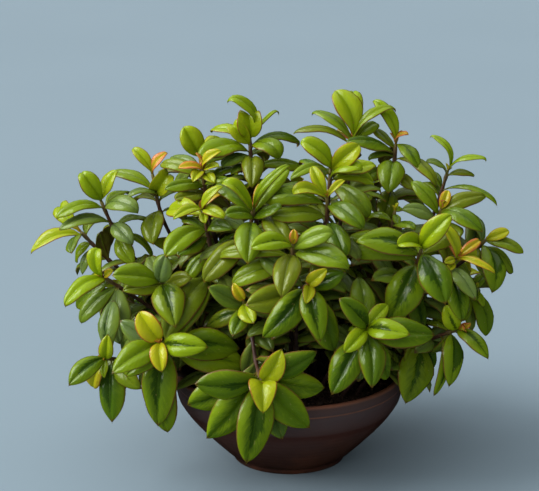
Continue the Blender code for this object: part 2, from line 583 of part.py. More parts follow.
def make_soil(collection, plants, cutters):
    """The potting mix: a mound that fills the bowl's hollow, with a hole round the foot of every stem."""
    rim_z = soil_top(RIM_RADIUS)
    top_radius = bowl_radius_inside(rim_z) - FIT_GAP
    profile = [(top_radius * share, soil_top(top_radius * share)) for share in (0.0, 0.55, 1.0)]
    profile += [(max(r - FIT_GAP, 0.0), z + FIT_GAP) for r, z in risen(HOLLOW) if z < rim_z - 0.002]
    soil = screw("soil", profile, POT_SIDES, collection)
    soil.data.materials.append(new_material("potting_mix", (0.045, 0.028, 0.018), 0.95))
    for name, plant in plants.items():
        root, way = plant["line"][0], unit(plant["line"][1] - plant["line"][0])
        bpy.ops.mesh.primitive_cylinder_add(vertices=5, radius=STEM_BASE_RADIUS + HOLE_ROOM, depth=0.05)
        hole = bpy.context.object
        hole.name = f"hole_{name}"
        hole.location = Vector(root + way * (0.025 - FIT_GAP))
        hole.rotation_mode = "QUATERNION"
        hole.rotation_quaternion = Vector(way).to_track_quat("Z", "Y")
        for owner in list(hole.users_collection):
            owner.objects.unlink(hole)
        cutters.objects.link(hole)
        hole.hide_render = True
        hole.display_type = "WIRE"
    cut = soil.modifiers.new("holes", "BOOLEAN")
    cut.operation = "DIFFERENCE"
    cut.operand_type = "COLLECTION"
    cut.collection = cutters
    cut.solver = "EXACT"
    return soil


def stem_mesh_object(name, line, radii, collection):
    """A stem as a tapering curve with filled caps, made a mesh."""
    curve = bpy.data.curves.new(name, "CURVE")
    curve.dimensions = "3D"
    curve.bevel_depth = 1.0
    curve.bevel_resolution = 0
    curve.use_fill_caps = True
    spline = curve.splines.new("POLY")
    spline.points.add(len(line) - 1)
    for point, here, radius in zip(spline.points, line, radii):
        point.co = (*here, 1.0)
        point.radius = radius
    obj = bpy.data.objects.new(name + "_curve", curve)
    collection.objects.link(obj)
    bpy.context.view_layer.update()
    graph = bpy.context.evaluated_depsgraph_get()
    mesh = bpy.data.meshes.new_from_object(obj.evaluated_get(graph))
    shape = bmesh.new()
    shape.from_mesh(mesh)
    bmesh.ops.remove_doubles(shape, verts=shape.verts, dist=0.00002)
    bmesh.ops.recalc_face_normals(shape, faces=shape.faces)
    shape.to_mesh(mesh)
    shape.free()
    made = bpy.data.objects.new(name, mesh)
    collection.objects.link(made)
    bpy.data.objects.remove(obj)
    return made


def make_leafy_stem(name, plant, collection, material):
    """A stem with its leaves joined to it in one solid."""
    stem_obj = stem_mesh_object(name, plant["line"], plant["radii"], collection)
    parts = new_collection(name + "_leaves")
    for number, leaf in enumerate(plant["leaves"]):
        verts, faces = leaf_solid(leaf)
        blade = mesh_object(f"{name}_leaf_{number}", verts, faces, parts)
        shape = bmesh.new()
        shape.from_mesh(blade.data)
        bmesh.ops.recalc_face_normals(shape, faces=shape.faces)
        shape.to_mesh(blade.data)
        shape.free()
    join = stem_obj.modifiers.new("leaves", "BOOLEAN")
    join.operation = "UNION"
    join.operand_type = "COLLECTION"
    join.collection = parts
    join.solver = "EXACT"
    bpy.context.view_layer.update()
    graph = bpy.context.evaluated_depsgraph_get()
    joined = bpy.data.meshes.new_from_object(stem_obj.evaluated_get(graph))
    stem_obj.modifiers.clear()
    stem_obj.data = joined
    stem_obj.data.materials.clear()
    stem_obj.data.materials.append(material)
    for blade in list(parts.objects):
        bpy.data.objects.remove(blade)
    bpy.data.collections.remove(parts)
    return stem_obj


def main():
    clear_scene()
    plants = lay_out()
    collection = new_collection("potted_goldfish_plant")
    cutters = new_collection("cutters")
    make_pot(collection)
    make_soil(collection, plants, cutters)
    foliage = new_material("foliage", (0.17, 0.32, 0.035), 0.35)
    for name, plant in plants.items():
        make_leafy_stem(name, plant, collection, foliage)


main()
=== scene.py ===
# A goldfish plant in a shallow glazed bowl. Fine leaves, stems, bowl and potting mix stand for
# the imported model's plain ones, each in the place that the model gives it.
import math
from itertools import product

import bpy
import numpy as np
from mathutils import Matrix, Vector
from mathutils.bvhtree import BVHTree


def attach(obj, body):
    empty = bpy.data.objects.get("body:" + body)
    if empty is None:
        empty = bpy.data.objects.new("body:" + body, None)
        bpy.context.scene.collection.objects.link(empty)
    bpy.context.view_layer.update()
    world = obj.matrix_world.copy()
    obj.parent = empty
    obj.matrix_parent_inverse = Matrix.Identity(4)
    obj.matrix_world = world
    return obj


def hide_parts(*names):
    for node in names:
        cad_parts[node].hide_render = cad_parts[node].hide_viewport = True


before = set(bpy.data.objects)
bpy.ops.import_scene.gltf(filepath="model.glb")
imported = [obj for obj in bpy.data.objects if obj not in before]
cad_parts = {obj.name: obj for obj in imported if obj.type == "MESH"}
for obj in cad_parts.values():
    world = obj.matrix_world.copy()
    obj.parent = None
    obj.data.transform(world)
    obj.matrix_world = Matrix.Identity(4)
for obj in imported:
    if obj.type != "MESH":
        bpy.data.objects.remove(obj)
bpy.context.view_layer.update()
print("frame loaded,", len(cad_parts), "nodes")

# how the plant is looked at: places on it are given across and down in a picture of framePx,
# and in millimetres nearer to the viewer than the middle of the rim
view = {
    "framePx": (539, 491), "middlePx": (269.5, 245.5), "focalPx": 2100.0,
    "rimPx": (289.2, 369.0), "rimRadiusPx": 113.0, "pitch": math.radians(16.1),
}

# the bowl's outside and hollow as (radius, distance below the rim)
bowl = {
    "rimRadius": 0.075, "height": 0.060, "testSides": 32,
    "outside": ((0.0738, 0.0), (0.0750, 0.0012), (0.0752, 0.0062), (0.0743, 0.0074), (0.0750, 0.0090),
                (0.0738, 0.0160), (0.0694, 0.0240), (0.0632, 0.0320), (0.0558, 0.0400), (0.0479, 0.0480),
                (0.0398, 0.0555), (0.0380, 0.0566), (0.0366, 0.0600), (0.0, 0.0600)),
    "hollow": ((0.0722, 0.0), (0.0708, 0.0015), (0.0701, 0.0100), (0.0680, 0.0170), (0.0628, 0.0250),
               (0.0558, 0.0330), (0.0470, 0.0410), (0.0350, 0.0490), (0.0280, 0.0515), (0.0, 0.0520)),
    "step": 0.0007, "sides": 160, "throwingRings": 0.00003, "ringSpacing": 0.0034,
}

soilBed = {
    "belowRim": 0.011, "mound": 0.005, "holeDepth": 0.012, "holeRoom": 0.0009, "gap": 0.0003,
    "lumps": 0.00036, "sides": 120, "rings": 44, "leastRadius": 0.0006, "edge": 0.002,
    "crumbs": 1500, "crumbSize": (0.0006, 0.0020), "seed": 11,
}

# how stems and leaves grow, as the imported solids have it
growth = {
    "seed": 7, "stemBase": 0.0017, "stemTip": 0.0011, "stemPoints": 7, "rootSunk": 0.0016,
    "leafWidth": 0.47, "leafThick": 0.0015, "arch": 0.20, "crown": 0.10, "petiole": 0.0008,
    "clearance": 0.0004, "stations": (0.31, 0.66), "faceViewer": 0.45, "wayReach": 0.003,
    "footShare": 0.36, "footReach": 0.050, "footLimit": 0.055, "footStep": 0.0032, "goldenTurn": 2.4,
    "setsOut": 0.3, "setsUp": 0.55, "leastRise": 0.05, "leanPull": 0.8, "turnPull": 0.35,
    # places tried for a foot, the least upward part of a leaf's face, and how far its foot is drawn back
    # where it's tested against its own stem
    "tries": 60, "leastUp": 0.2, "drawnBack": 0.4,
    # shorter lengths, lower arches, lifts and swings in radians that a leaf is tried in
    "shorter": (1.0, 0.86, 0.72), "arches": (1.0, 0.6, 0.25), "lifts": (0.0, 0.14, -0.14, 0.28, -0.28, 0.45),
    "smallSwings": (0.0, 0.1, -0.1, 0.22, -0.22, 0.38, -0.38),
    "wideSwings": (0.0, 0.3, -0.3, 0.6, -0.6, 0.9, -0.9),
}


def stem(tip, near, lean, leaves, reach=0.5, via=None):
    # its tip and how near that is, the way it leans (right, up, nearer), its leaves, how much of its length
    # follows the lean, and a place that it passes; a leaf's row is its tip in the picture, mm long (below
    # zero where it points away), mm down the stem, and where they are given how young it is from 0 to 1 and
    # how wide against the usual
    return {"tip": tip, "near": near, "lean": lean, "leaves": leaves, "reach": reach, "via": via}


stems = {
    "stem_far_left": stem((80, 231), -18, (-0.6, 0.7, 0.1), [
        (30, 254, 38, 5, 0.55, 0.75), (71, 253, 26, 3, 0.1), (62, 207, -27, 1, 0.5),
        (101, 219, -26, 6, 0.2), (77, 262, -20, 12, 0.3), (82, 275, 20, 17, 0.05)]),
    "stem_left_top": stem((100, 199), 6, (-0.3, 0.9, 0.15), [
        (83, 173, 24, 0, 0.45, 1.15), (108, 171, 24, 1, 0.55, 1.15), (136, 210, 32, 9, 0.1),
        (57, 218, 34, 8, 0.2), (130, 195, -26, 7, 0.2), (58, 230, 38, 19, 0.1), (132, 243, 28, 20),
        (148, 222, -30, 22, 0.1), (152, 257, 26, 27, 0.15), (134, 265, 28, 28, 0.05)]),
    "stem_left_orange": stem((152, 172), 4, (-0.1, 1, 0.1), [
        (133, 149, 20, 0, 0.9, 0.85), (167, 153, 18, 1, 1, 0.85), (169, 172, 24, 14, 0.5, 1.2),
        (109, 174, -36, 15, 0.4), (129, 195, 28, 20, 0.1), (181, 190, -26, 21), (153, 245, 34, 27, 0.1),
        (134, 203, -26, 21, 0.05, 0.75), (187, 222, -28, 28)]),
    "stem_upper_left": stem((200, 155), -8, (0, 1, 0), [
        (184, 127, 26, 0, 0.4), (222, 141, -26, 1, 0.5), (228, 160, -28, 9, 0.1), (172, 157, -30, 10, 0.1),
        (181, 186, 24, 11, 0.25)]),
    "stem_red_bud": stem((203, 168), 30, (0, 0.9, 0.35), [
        (178, 168, 18, 0, 0.95, 0.8), (221, 151, 20, 0, 0.75, 0.75), (219, 166, 16, 2, 0.5),
        (193, 182, 16, 4, 0.6), (214, 183, 16, 5, 0.5), (161, 165, -34, 9, 0.3), (164, 189, 30, 13, 0.1),
        (175, 199, 32, 19, 0.1), (228, 180, 22, 12), (204, 212, 34, 24)]),
    "stem_summit_left": stem((250, 136), 12, (0, 1, 0.1), [
        (228, 100, 32, 0, 0.25), (253, 108, 24, 0, 0.4, 1.15), (277, 110, -28, 1, 0.3, 0.5),
        (230, 121, 24, 6, 0.5), (212, 131, -30, 7, 0.35), (298, 144, -36, 7, 0.05, 0.8),
        (278, 154, 26, 9, 0.1), (199, 157, 38, 12, 0.2), (252, 187, 34, 17), (231, 173, 24, 21),
        (301, 167, -36, 22)]),
    "stem_upper_middle": stem((254, 207), 78, (0.2, 0.8, 0.5), [
        (260, 184, 16, 0, 0.95), (289, 166, 38, 2, 0.3, 0.75), (237, 177, 32, 4, 0.35),
        (219, 184, -34, 8, 0.1), (280, 206, 26, 9, 0.1), (226, 215, 26, 10, 0.1), (248, 262, 42, 13),
        (203, 281, 42, 24), (212, 222, -32, 19), (294, 174, 34, 7, 0.2, 0.65)]),
    "stem_yellow_left": stem((203, 209), 62, (-0.1, 0.9, 0.4), [
        (222, 186, 24, 0, 0.75, 0.7), (169, 211, -32, 5, 0.5), (174, 219, 24, 1, 0.85, 0.7),
        (224, 218, 20, 2, 0.55), (205, 223, 13, 3, 0.8), (165, 257, 40, 17, 0.2), (174, 254, 36, 20),
        (233, 230, 24, 17, 0.1), (188, 250, -28, 24), (183, 288, 30, 30, 0.05, 0.9),
        (193, 326, 44, 38, 0, 0.75)]),
    "stem_middle": stem((293, 243), 98, (0, 0.8, 0.6), [
        (294, 229, 11, 0, 0.95), (252, 248, 32, 5, 0.25), (331, 233, 30, 6, 0.2), (347, 266, 40, 9, 0.1),
        (282, 295, 40, 11, 0.1), (267, 217, -34, 9, 0.1), (226, 246, -46, 12, 0.15, 0.6),
        (231, 284, 38, 21, 0.1)]),
    "stem_middle_low": stem((309, 284), 104, (0.3, 0.1, 0.95), [
        (327, 269, 18, 0, 0.7), (306, 303, 16, 0, 0.65), (321, 342, 38, 6, 0.15), (343, 272, 28, 8),
        (262, 338, 42, 8, 0.05), (256, 315, 42, 15, 0.05), (335, 352, -36, 12)], 0.4),
    "stem_heart": stem((243, 300), 84, (-0.2, 0.5, 0.85), [
        (238, 281, 14, 0, 0.85), (254, 324, 24, 5, 0.45), (210, 281, 30, 8, 0.1), (232, 337, 30, 10, 0.05),
        (205, 328, -32, 15, 0, 0.8)]),
    "stem_left_high": stem((102, 276), 34, (-0.7, 0.5, 0.5), [
        (97, 250, 20, 1, 0.45), (91, 272, -12, 1, 0.8), (113, 270, 11, 0, 0.8), (65, 306, 36, 5, 0.3),
        (75, 308, -34, 8, 0.1), (79, 322, 30, 14, 0.15), (120, 345, 40, 14, 0, 1.15)]),
    "stem_left_middle": stem((161, 280), 62, (0, 0.5, 0.85), [
        (166, 254, 26, 3), (112, 275, 36, 2, 0.15), (123, 290, 30, 7, 0.1), (176, 329, 40, 5, 0, 1.1),
        (184, 288, 26, 8)]),
    "stem_left_gold": stem((160, 341), 76, (-0.1, 0.35, 0.95), [
        (139, 311, 24, 0, 0.8), (162, 373, 23, 0, 0.9, 0.8), (208, 347, 34, 6, 0.25),
        (241, 349, 42, 13, 0.1), (111, 374, 42, 6, 0.2), (125, 377, 34, 13, 0.15), (119, 320, -30, 12),
        (158, 428, 50, 9, 0.1), (167, 434, 46, 19, 0.05), (246, 366, 48, 21, 0.05)]),
    "stem_low_left": stem((104, 358), 56, (-0.5, 0.1, 0.85), [
        (108, 334, 20, 0, 0.6), (68, 386, 34, 3, 0.1), (102, 377, 14, 0, 0.3), (94, 387, -22, 3, 0.8),
        (112, 424, 42, 7), (141, 389, 32, 10)]),
    "stem_front": stem((262, 382), 100, (0.05, 0.35, 0.95), [
        (246, 465, 55, 7, 0.05), (311, 429, 44, 6, 0.1), (193, 384, 44, 6, 0.1),
        (263, 414, 25, 1, 0.6, 1.1), (282, 348, 26, 0, 0.6, 0.9), (317, 352, 40, 10), (326, 388, 40, 14),
        (206, 440, 46, 13), (186, 406, 46, 13), (283, 441, 38, 14)], 0.6, (251, 331, 68)),
    "stem_right_front": stem((367, 328), 96, (0.15, 0.45, 0.9), [
        (339, 298, 32, 2, 0.1), (345, 352, 24, 0, 0.35), (411, 335, 34, 1, 0.25), (372, 389, 40, 7, 0.05),
        (331, 396, 46, 9), (436, 335, 44, 8, 0.1), (387, 380, -34, 13), (350, 330, -20, 9)]),
    "stem_summit_right": stem((353, 136), 8, (0.05, 1, 0.05), [
        (336, 92, 31, 0, 0.45, 1.25), (357, 88, -33, 1, 0.35, 0.8), (313, 113, -34, 5, 0.15, 0.75),
        (293, 133, 40, 8, 0.1, 0.6), (394, 109, 36, 5, 0.2, 0.65), (344, 126, -14, 3, 1),
        (377, 124, -24, 6, 0.2), (345, 158, 26, 15, 0.1)]),
    "stem_top_right": stem((396, 142), 2, (0, 1, 0.1), [
        (374, 101, 32, 1, 0.3, 0.75), (409, 132, 14, 1, 1), (373, 128, -22, 5, 0.1),
        (418, 168, 26, 2, 0.05, 1.1), (338, 140, 40, 9, 0, 0.75), (388, 194, 36, 17, 0, 1.15),
        (436, 184, 36, 12, 0, 0.8), (369, 159, 19, 11, 0.1), (382, 222, 28, 32, 0.1, 1.15)]),
    "stem_olive": stem((331, 168), 48, (0.05, 0.95, 0.3), [
        (302, 142, 28, 0, 0.35), (358, 146, 26, 0, 0.7), (320, 151, 12, 1, 0.9),
        (361, 169, 26, 8, 0.3, 1.15), (375, 164, -30, 4, 0.4), (374, 185, -32, 9, 0.35),
        (368, 215, 38, 13, 0.1), (291, 180, 30, 6, 0.2, 0.8), (301, 163, -30, 10, 0.05, 0.6)]),
    "stem_fan": stem((327, 196), 74, (-0.05, 0.9, 0.4), [
        (312, 166, 22, 0, 0.65), (304, 177, 26, 1, 0.5), (344, 181, 15, 1, 0.65, 0.7),
        (265, 200, 38, 8, 0.05), (362, 227, 34, 8, 0.1), (272, 217, 38, 15, 0.05), (345, 257, 36, 20)]),
    "stem_right_tall": stem((448, 170), -12, (0.2, 0.95, 0), [
        (430, 137, 26, 0, 0.25, 0.7), (486, 160, 30, 0, 0.25, 0.7), (427, 162, 19, 4, 0.05, 1.2),
        (474, 176, -20, 5, 0.1), (498, 203, 42, 15, 0, 0.65), (424, 172, -24, 15),
        (391, 201, -30, 26, 0, 0.55)]),
    "stem_right_upper": stem((441, 208), 30, (0.1, 0.85, 0.45), [
        (448, 190, 13, 0, 0.85), (485, 197, -32, 5, 0.05, 0.75), (483, 232, 38, 7, 0.1), (460, 235, 34, 10),
        (412, 182, 26, 7, 0.1), (403, 209, 28, 13)]),
    "stem_far_right": stem((487, 239), 22, (0.55, 0.6, 0.5), [
        (509, 231, 17, 0, 0.7), (524, 253, 28, 3, 0.1), (493, 292, 40, 6), (513, 273, -32, 8),
        (470, 262, 28, 10)]),
    "stem_pink": stem((457, 257), 64, (0.3, 0.6, 0.7), [
        (443, 226, 26, 3, 0.6, 0.65), (479, 241, 18, 0, 1), (452, 244, -12, 1, 1),
        (495, 272, 30, 2, 0.8, 0.6), (476, 258, -20, 4, 0.65), (446, 261, 11, 2, 0.65),
        (450, 269, 11, 4, 0.65), (476, 300, 34, 13), (462, 322, 38, 17), (478, 298, -36, 20, 0.05)]),
    "stem_glossy": stem((422, 248), 80, (0.05, 0.6, 0.75), [
        (450, 216, 36, 1, 0.3, 0.85), (403, 243, 22, 2, 0.35), (450, 231, -34, 9, 0.05),
        (446, 305, 42, 6, 0.1), (358, 241, 44, 8, 0.05), (342, 249, 48, 14), (389, 322, 42, 15)]),
    "stem_right_low": stem((459, 329), 60, (0.6, 0.25, 0.7), [
        (466, 321, 7, 0, 1), (446, 306, 20, 2, 0.4), (489, 359, 32, 3, 0.1), (449, 388, 38, 8),
        (434, 397, 42, 16), (424, 325, -26, 9)]),
    "stem_rim_right": stem((424, 341), 52, (0.4, 0, 0.9), [
        (405, 405, 42, 4), (434, 366, -26, 6), (404, 362, 20, 8)]),
    "stem_right_behind": stem((472, 288), 2, (0.5, 0.3, 0.5), [
        (487, 336, 32, 3, 0.15), (463, 322, 26, 5, 0.1), (485, 307, 16, 0, 0.3), (478, 299, 20, 1, 0.1)]),
    "stem_inner_right": stem((395, 210), 40, (0, 0.9, 0.4), [
        (401, 205, -11, 1, 0.2), (398, 225, 13, 4), (367, 218, -22, 9, 0, 0.7), (414, 228, 28, 13)]),
}

# stems that the picture hides
hidden = {
    # rings round the bowl: how many stems, their bearings from the right, anticlockwise, and the radius and
    # height of their tips; each is drawn within the spread of that, and moves tipShift times as far as its
    # foot has to
    "rings": {"stem_behind_low": (6, (26, 154), 0.128, 0.098),
              "stem_behind_middle": (5, (26, 152), 0.088, 0.134),
              "stem_behind_high": (3, (35, 150), 0.050, 0.160)},
    "spread": (0.92, 1.08), "tipShift": 1.2, "reach": 0.45, "leansOut": 0.6, "leansUp": 0.7,
    # their pairs of leaves: mm below the tip, mm long, how young, and how far open from the stem in radians;
    # then how they sag and vary, and how far their faces look out and up
    "pairs": ((2, 22, 0.6, 0.55), (9, 33, 0.2, 0.8), (21, 40, 0.05, 1.05), (37, 42, 0.0, 1.25)),
    "sag": 0.12, "length": (0.9, 1.05), "turn": (-0.15, 0.15), "faceOut": 0.4, "faceUp": 0.3,
}

# more leaves than the solids have: old pairs down the bare stems, partners on the far side, tip buds
extras = {
    "seed": 58, "innerStart": 0.011, "innerStep": 0.0125, "innerEnd": 0.026, "innerKept": 0.88,
    "innerLength": (0.027, 0.040), "innerOpen": (1.0, 1.45), "partnerLength": (0.85, 1.0),
    "innerTurn": (-0.3, 0.3), "innerUneven": (0.85, 1.2),
    # buds: their length, how far they open, how young they are at least and by the stem's youngest leaf,
    # and how much less the second pair opens and grows
    "bud": (0.0045, 0.0075), "budOpen": (0.25, 0.6), "budYoung": (0.55, 0.5), "budSecond": (0.5, 0.7),
    "budWide": 0.9, "budArch": 0.1,
    "bigBuds": {"stem_red_bud": 2.0, "stem_pink": 1.6, "stem_summit_right": 1.8, "stem_right_low": 1.7,
                "stem_top_right": 1.4, "stem_right_upper": 1.5, "stem_yellow_left": 1.3},
    # where the wall shows between the leaves, as picture circles: across, down, radius
    "openPlaces": ((140, 209, 9), (86, 234, 5), (395, 171, 8), (414, 229, 6), (176, 206, 5), (124, 180, 9),
                   (444, 308, 4), (318, 128, 10), (268, 128, 6), (300, 152, 6), (128, 250, 5),
                   (425, 147, 10), (300, 181, 6), (215, 354, 7), (239, 354, 6), (318, 362, 7),
                   (161, 243, 7)),
    # how far leaves keep from those in pixels, and how far along a leaf that is looked at
    "openMargin": 6, "openAlong": (0.25, 1.0),
    # a partner points away from the viewer by this cosine, and comes only where no leaf at the same node,
    # in metres along the stem, points the same way by this cosine
    "partnerAway": 0.12, "sameNode": 0.0055, "sameWay": 0.55,
    # how worn the leaves are
    "partnerWorn": (0.0, 0.35), "innerWorn": (0.35, 1.0), "innerSag": 0.1,
}

# leaves that only the picture's model has, in the same terms as the stems' own
more = {
    "stem_top_right": ((365, 182, 28, 24), (413, 190, 26, 24), (372, 194, -26, 28)),
    "stem_summit_left": ((226, 166, 28, 14), (272, 160, -24, 14)),
    "stem_right_tall": ((420, 186, -28, 20),),
}

# leaves shaped or marked apart from the rest, in rows that start with the place of the tip: how far the tip
# hooks over in radians and from where, how deeply the blade folds, how high its crest is, how arched, wide,
# long and young it is, the powers of its outline, how strong its dark flame is, its tint, and how far its
# upper side turns from the stem's tip (0) to the viewer (1)
looks = {
    (across, down): dict(zip(names.split(), values))
    for names, rows in {
        "faces wide long fold crest bulge hook hookFrom young": (
            (253, 108, 1, 1.28, 0.72, 0.65, 0.05, 2.4, 2.6, 0.6, 0.42),
            (230, 121, 1, 1, 0.75, 0.6, 0.05, 2.4, 2.6, 0.6, 0.45),
            (169, 172, 1, 0.9, 0.85, 0.6, 0.05, 2.4, 2.6, 0.6, 0.5)),
        "arch fold rise bulge hook flame tint": ((388, 194, 1.5, 0, 0.7, 1.5, 0.5, 0.2, 0.5),),
        "wide arch fold rise bulge hook young": ((263, 414, 1.35, 1.2, 0.4, 0.34, 1.15, 0.3, 0.55),),
        "wide fold rise bulge hook young tint": ((139, 311, 1.25, 0.5, 0.7, 1.5, 0.3, 0.72, 1),),
        "faces wide fold crest hook hookFrom": ((237, 177, 0.5, 0.7, 0.35, 0.08, 2.4, 0.64),
            (304, 177, 0.5, 0.75, 0.35, 0.08, 2.3, 0.62)),
        "faces wide fold hook hookFrom young": ((312, 166, 1, 0.8, 0.25, 0.9, 0.8, 0.5),),
        "faces wide hook hookFrom young tint": ((358, 146, 1, 1.1, 1.3, 0.78, 0.52, 1),),
        "wide long fold rise hook young": ((336, 92, 1, 1.05, 0.2, 0.85, 0.5, 0.4),),
        "faces wide fold flame tint": ((405, 405, 0.6, 1.3, 0, 0.5, 0.7),),
        "faces wide hook hookFrom tint": ((302, 142, 0.45, 1.3, 2.4, 0.84, 1),),
        "fold hook hookFrom young tint": ((450, 216, 0.15, 1.6, 0.84, 0.38, 0.5),),
        "wide arch hook hookFrom tint": ((277, 110, 0.55, 2, 1.9, 0.7, 1),),
        "wide fold hook hookFrom young": ((289, 166, 0.52, 0.1, 2.6, 0.8, 0.22),),
        "wide fold hook young tint": ((162, 373, 1.25, 0.35, 0.2, 0.72, 1),
            (282, 348, 1.25, 0.35, 0.1, 0.55, 0.9)),
        "wide fold rise flame tint": ((120, 345, 1.02, 0, 0.5, 0, 0),),
        "arch rise bulge young": ((252, 187, 1.3, 0.5, 1.5, 0),),
        "faces hook hookFrom young": ((62, 207, 0, 2.4, 0.7, 0.4),),
        "faces wide arch young": ((109, 174, 0.3, 0.75, 0.8, 0.2),),
        "faces wide fold flame": ((446, 306, 1, 1.15, 0.1, 0.5),),
        "wide arch hook hookFrom": ((228, 100, 1, 1.5, 2.3, 0.78), (430, 137, 0.85, 1.7, 2, 0.86)),
        "wide hook flame tint": ((246, 465, 0.92, 0.1, 0.95, 0.5), (112, 424, 1.14, 0.1, 1, 0.4),
            (446, 305, 1.15, 0.3, 1, 0.5)),
        "wide hook hookFrom young": ((83, 173, 1.1, 1.8, 0.74, 0.3), (108, 171, 1.1, 1.6, 0.86, 0.42),
            (97, 250, 1.3, 2, 0.72, 0.35)),
        "wide hook young tint": ((30, 254, 0.9, 0.7, 0.5, 0.9), (495, 272, 0.6, 1, 0.78, 1)),
        "wide rise flame tint": ((176, 329, 1.12, 0.5, 0.8, 0.7),),
        "arch hook hookFrom": ((486, 160, 1, 2.4, 0.86),),
        "faces hook hookFrom": ((331, 233, 0.4, 2.2, 0.82),),
        "faces wide hook": ((153, 245, 0, 1.15, 0.5),),
        "faces wide young": ((184, 127, 0.8, 1.3, 0.4),),
        "faces young tint": ((108, 334, 1, 0.42, 1),),
        "fold hook hookFrom": ((403, 243, 0.7, 1.8, 0.66),),
        "fold young tint": ((133, 149, 0.3, 0.45, 1),),
        "hook flame tint": ((193, 384, 0.1, 0.6, 0.5), (311, 429, 0.2, 0, 0.5),
            (158, 428, 0.15, 0.75, 0.6)),
        "hook hookFrom tint": ((57, 218, 1.5, 0.88, 0.3),),
        "wide arch tint": ((498, 203, 0.6, 0.8, 0.3), (338, 140, 1.35, 0.6, 0.4)),
        "wide flame tint": ((389, 322, 1.28, 0.95, 0.5), (493, 292, 1.12, 1, 0.4)),
        "wide hook hookFrom": ((278, 154, 1.5, 1.8, 0.66),),
        "wide young tint": ((161, 165, 0.75, 0.15, 1),),
        "young flame tint": ((282, 295, 0, 0.1, 1),),
        "arch tint": ((483, 232, 1.3, 0.4),),
        "flame tint": ((206, 440, 0, 0.3), (317, 352, 0.2, 0.5), (326, 388, 0, 0.6), (241, 349, 0.6, 0.55),
            (246, 366, 0.4, 0.6), (167, 434, 0.2, 0.5), (358, 241, 0.8, 0.5), (342, 249, 0.6, 0.5),
            (449, 388, 1, 0.5), (436, 335, 0.1, 0.5), (321, 342, 0.9, 0.4), (262, 338, 0.85, 0.4),
            (339, 298, 0.7, 0.4), (489, 359, 0.6, 0.6), (372, 389, 0.3, 0.6)),
        "hook young": ((443, 226, 1.6, 0.6),),
        "wide arch": ((291, 180, 0.8, 1.4),),
        "wide hook": ((212, 131, 0.8, 1.6), (409, 132, 0.8, 1.5)),
        # tints near 0 here lay on the pale dusty tone, partly a painted sheen of the light from the left
        "wide tint": ((166, 254, 1.2, 0.03), (199, 157, 1.35, 0.5), (82, 275, 1.35, 0)),
        "wide young": ((260, 184, 0.6, 0.8), (479, 241, 0.7, 0.95)),
        "young tint": ((174, 219, 0.45, 1), (169, 211, 0.45, 1), (222, 186, 0.45, 1), (224, 218, 0.45, 1),
            (205, 223, 0.45, 1)),
        "arch": ((524, 253, 1.35), (75, 308, 0.5), (172, 157, 0.4), (301, 167, 0.6)),
        "faces": ((152, 257, 0), (134, 265, 0), (181, 186, 0)),
        "flame": ((186, 406, 0.5), (411, 335, 0.55), (208, 347, 0.5), (343, 272, 0.8), (331, 396, 0.8),
            (252, 248, 0.3)),
        # the tints near 0 here, on leaves of the left side, lay on the pale dusty tone, partly a painted
        # sheen of the light from the left
        "tint": ((283, 441, 0.12), (204, 212, 0.6), (136, 210, 0.05), (132, 243, 0), (58, 230, 0.07),
            (130, 195, 0.08), (148, 222, 0.05), (129, 195, 0.06), (181, 190, 0.1), (187, 222, 0.1),
            (79, 322, 0.1), (119, 320, 0.05), (347, 266, 0.5), (265, 200, 0.6), (272, 217, 0.7),
            (362, 227, 0.6), (231, 284, 0.7), (165, 257, 0.6), (345, 257, 0.3)),
        "wide": ((434, 397, 0.5), (487, 336, 1.2), (77, 262, 1.35), (485, 197, 1.2)),
        "young": ((167, 153, 1),),
    }.items() for across, down, *values in rows
}


def unit(v):
    return v / np.maximum(np.linalg.norm(v, axis=-1, keepdims=True), 1e-9)


# the viewer's directions, the distance to the middle of the rim, and where the viewer stands
viewRight = np.array([1.0, 0.0, 0.0])
viewUp = np.array([0.0, math.sin(view["pitch"]), math.cos(view["pitch"])])
viewAhead = np.array([0.0, math.cos(view["pitch"]), -math.sin(view["pitch"])])
rimDistance = bowl["rimRadius"] * view["focalPx"] / view["rimRadiusPx"]


def ray(px):
    # from the viewer towards a pixel, one metre ahead
    across = (px[0] - view["middlePx"][0]) / view["focalPx"]
    above = (view["middlePx"][1] - px[1]) / view["focalPx"]
    return viewRight * across + viewUp * above + viewAhead


eye = np.array([0.0, 0.0, bowl["height"]]) - rimDistance * ray(view["rimPx"])


def place(px, near):
    # the point seen at a pixel, near metres nearer than the middle of the rim
    return eye + (rimDistance - near) * ray(px)


def pixel(point):
    away = point - eye
    depth = away @ viewAhead
    return np.stack([view["middlePx"][0] + away @ viewRight / depth * view["focalPx"],
                     view["middlePx"][1] - away @ viewUp / depth * view["focalPx"]], -1)


def nearness(point):
    return rimDistance - (point - eye) @ viewAhead


def risen(profile):
    # (radius, distance below the rim) as (radius, height)
    return np.array(profile) * [1, -1] + [0, bowl["height"]]


def soilTop(r):
    # a low mound: a quarter of a cosine from the axis to the rim
    share = np.minimum(np.asarray(r) / bowl["rimRadius"], 1)
    return bowl["height"] - soilBed["belowRim"] + soilBed["mound"] * np.cos(share * math.pi / 2)


def cubic(a, b, c, d):
    t = np.linspace(0, 1, 61)[:, None]
    return (1 - t) ** 3 * a + 3 * t * (1 - t) ** 2 * b + 3 * t * t * (1 - t) * c + t ** 3 * d


def stemPath(root, tip, lean, reach, via=None):
    # up out of the soil at the root and into the tip the way it leans, by way of via if given
    ahead = tip if via is None else via
    span = np.linalg.norm(ahead - root)
    up = max(ahead[2] - root[2], growth["leastRise"]) * growth["setsUp"]
    rise = np.array([*(root[:2] * growth["setsOut"]), up])
    if via is None:
        return cubic(root, root + rise, tip - lean * span * reach * growth["leanPull"], tip)
    left = np.linalg.norm(tip - via)
    over = unit(unit(tip - via) + unit((via - root) * [1, 1, 0.2])) * left * growth["turnPull"]
    second = cubic(via, via + over, tip - lean * left * reach * growth["leanPull"], tip)
    return np.concatenate([cubic(root, root + rise, via - over * 1.5, via), second[1:]])


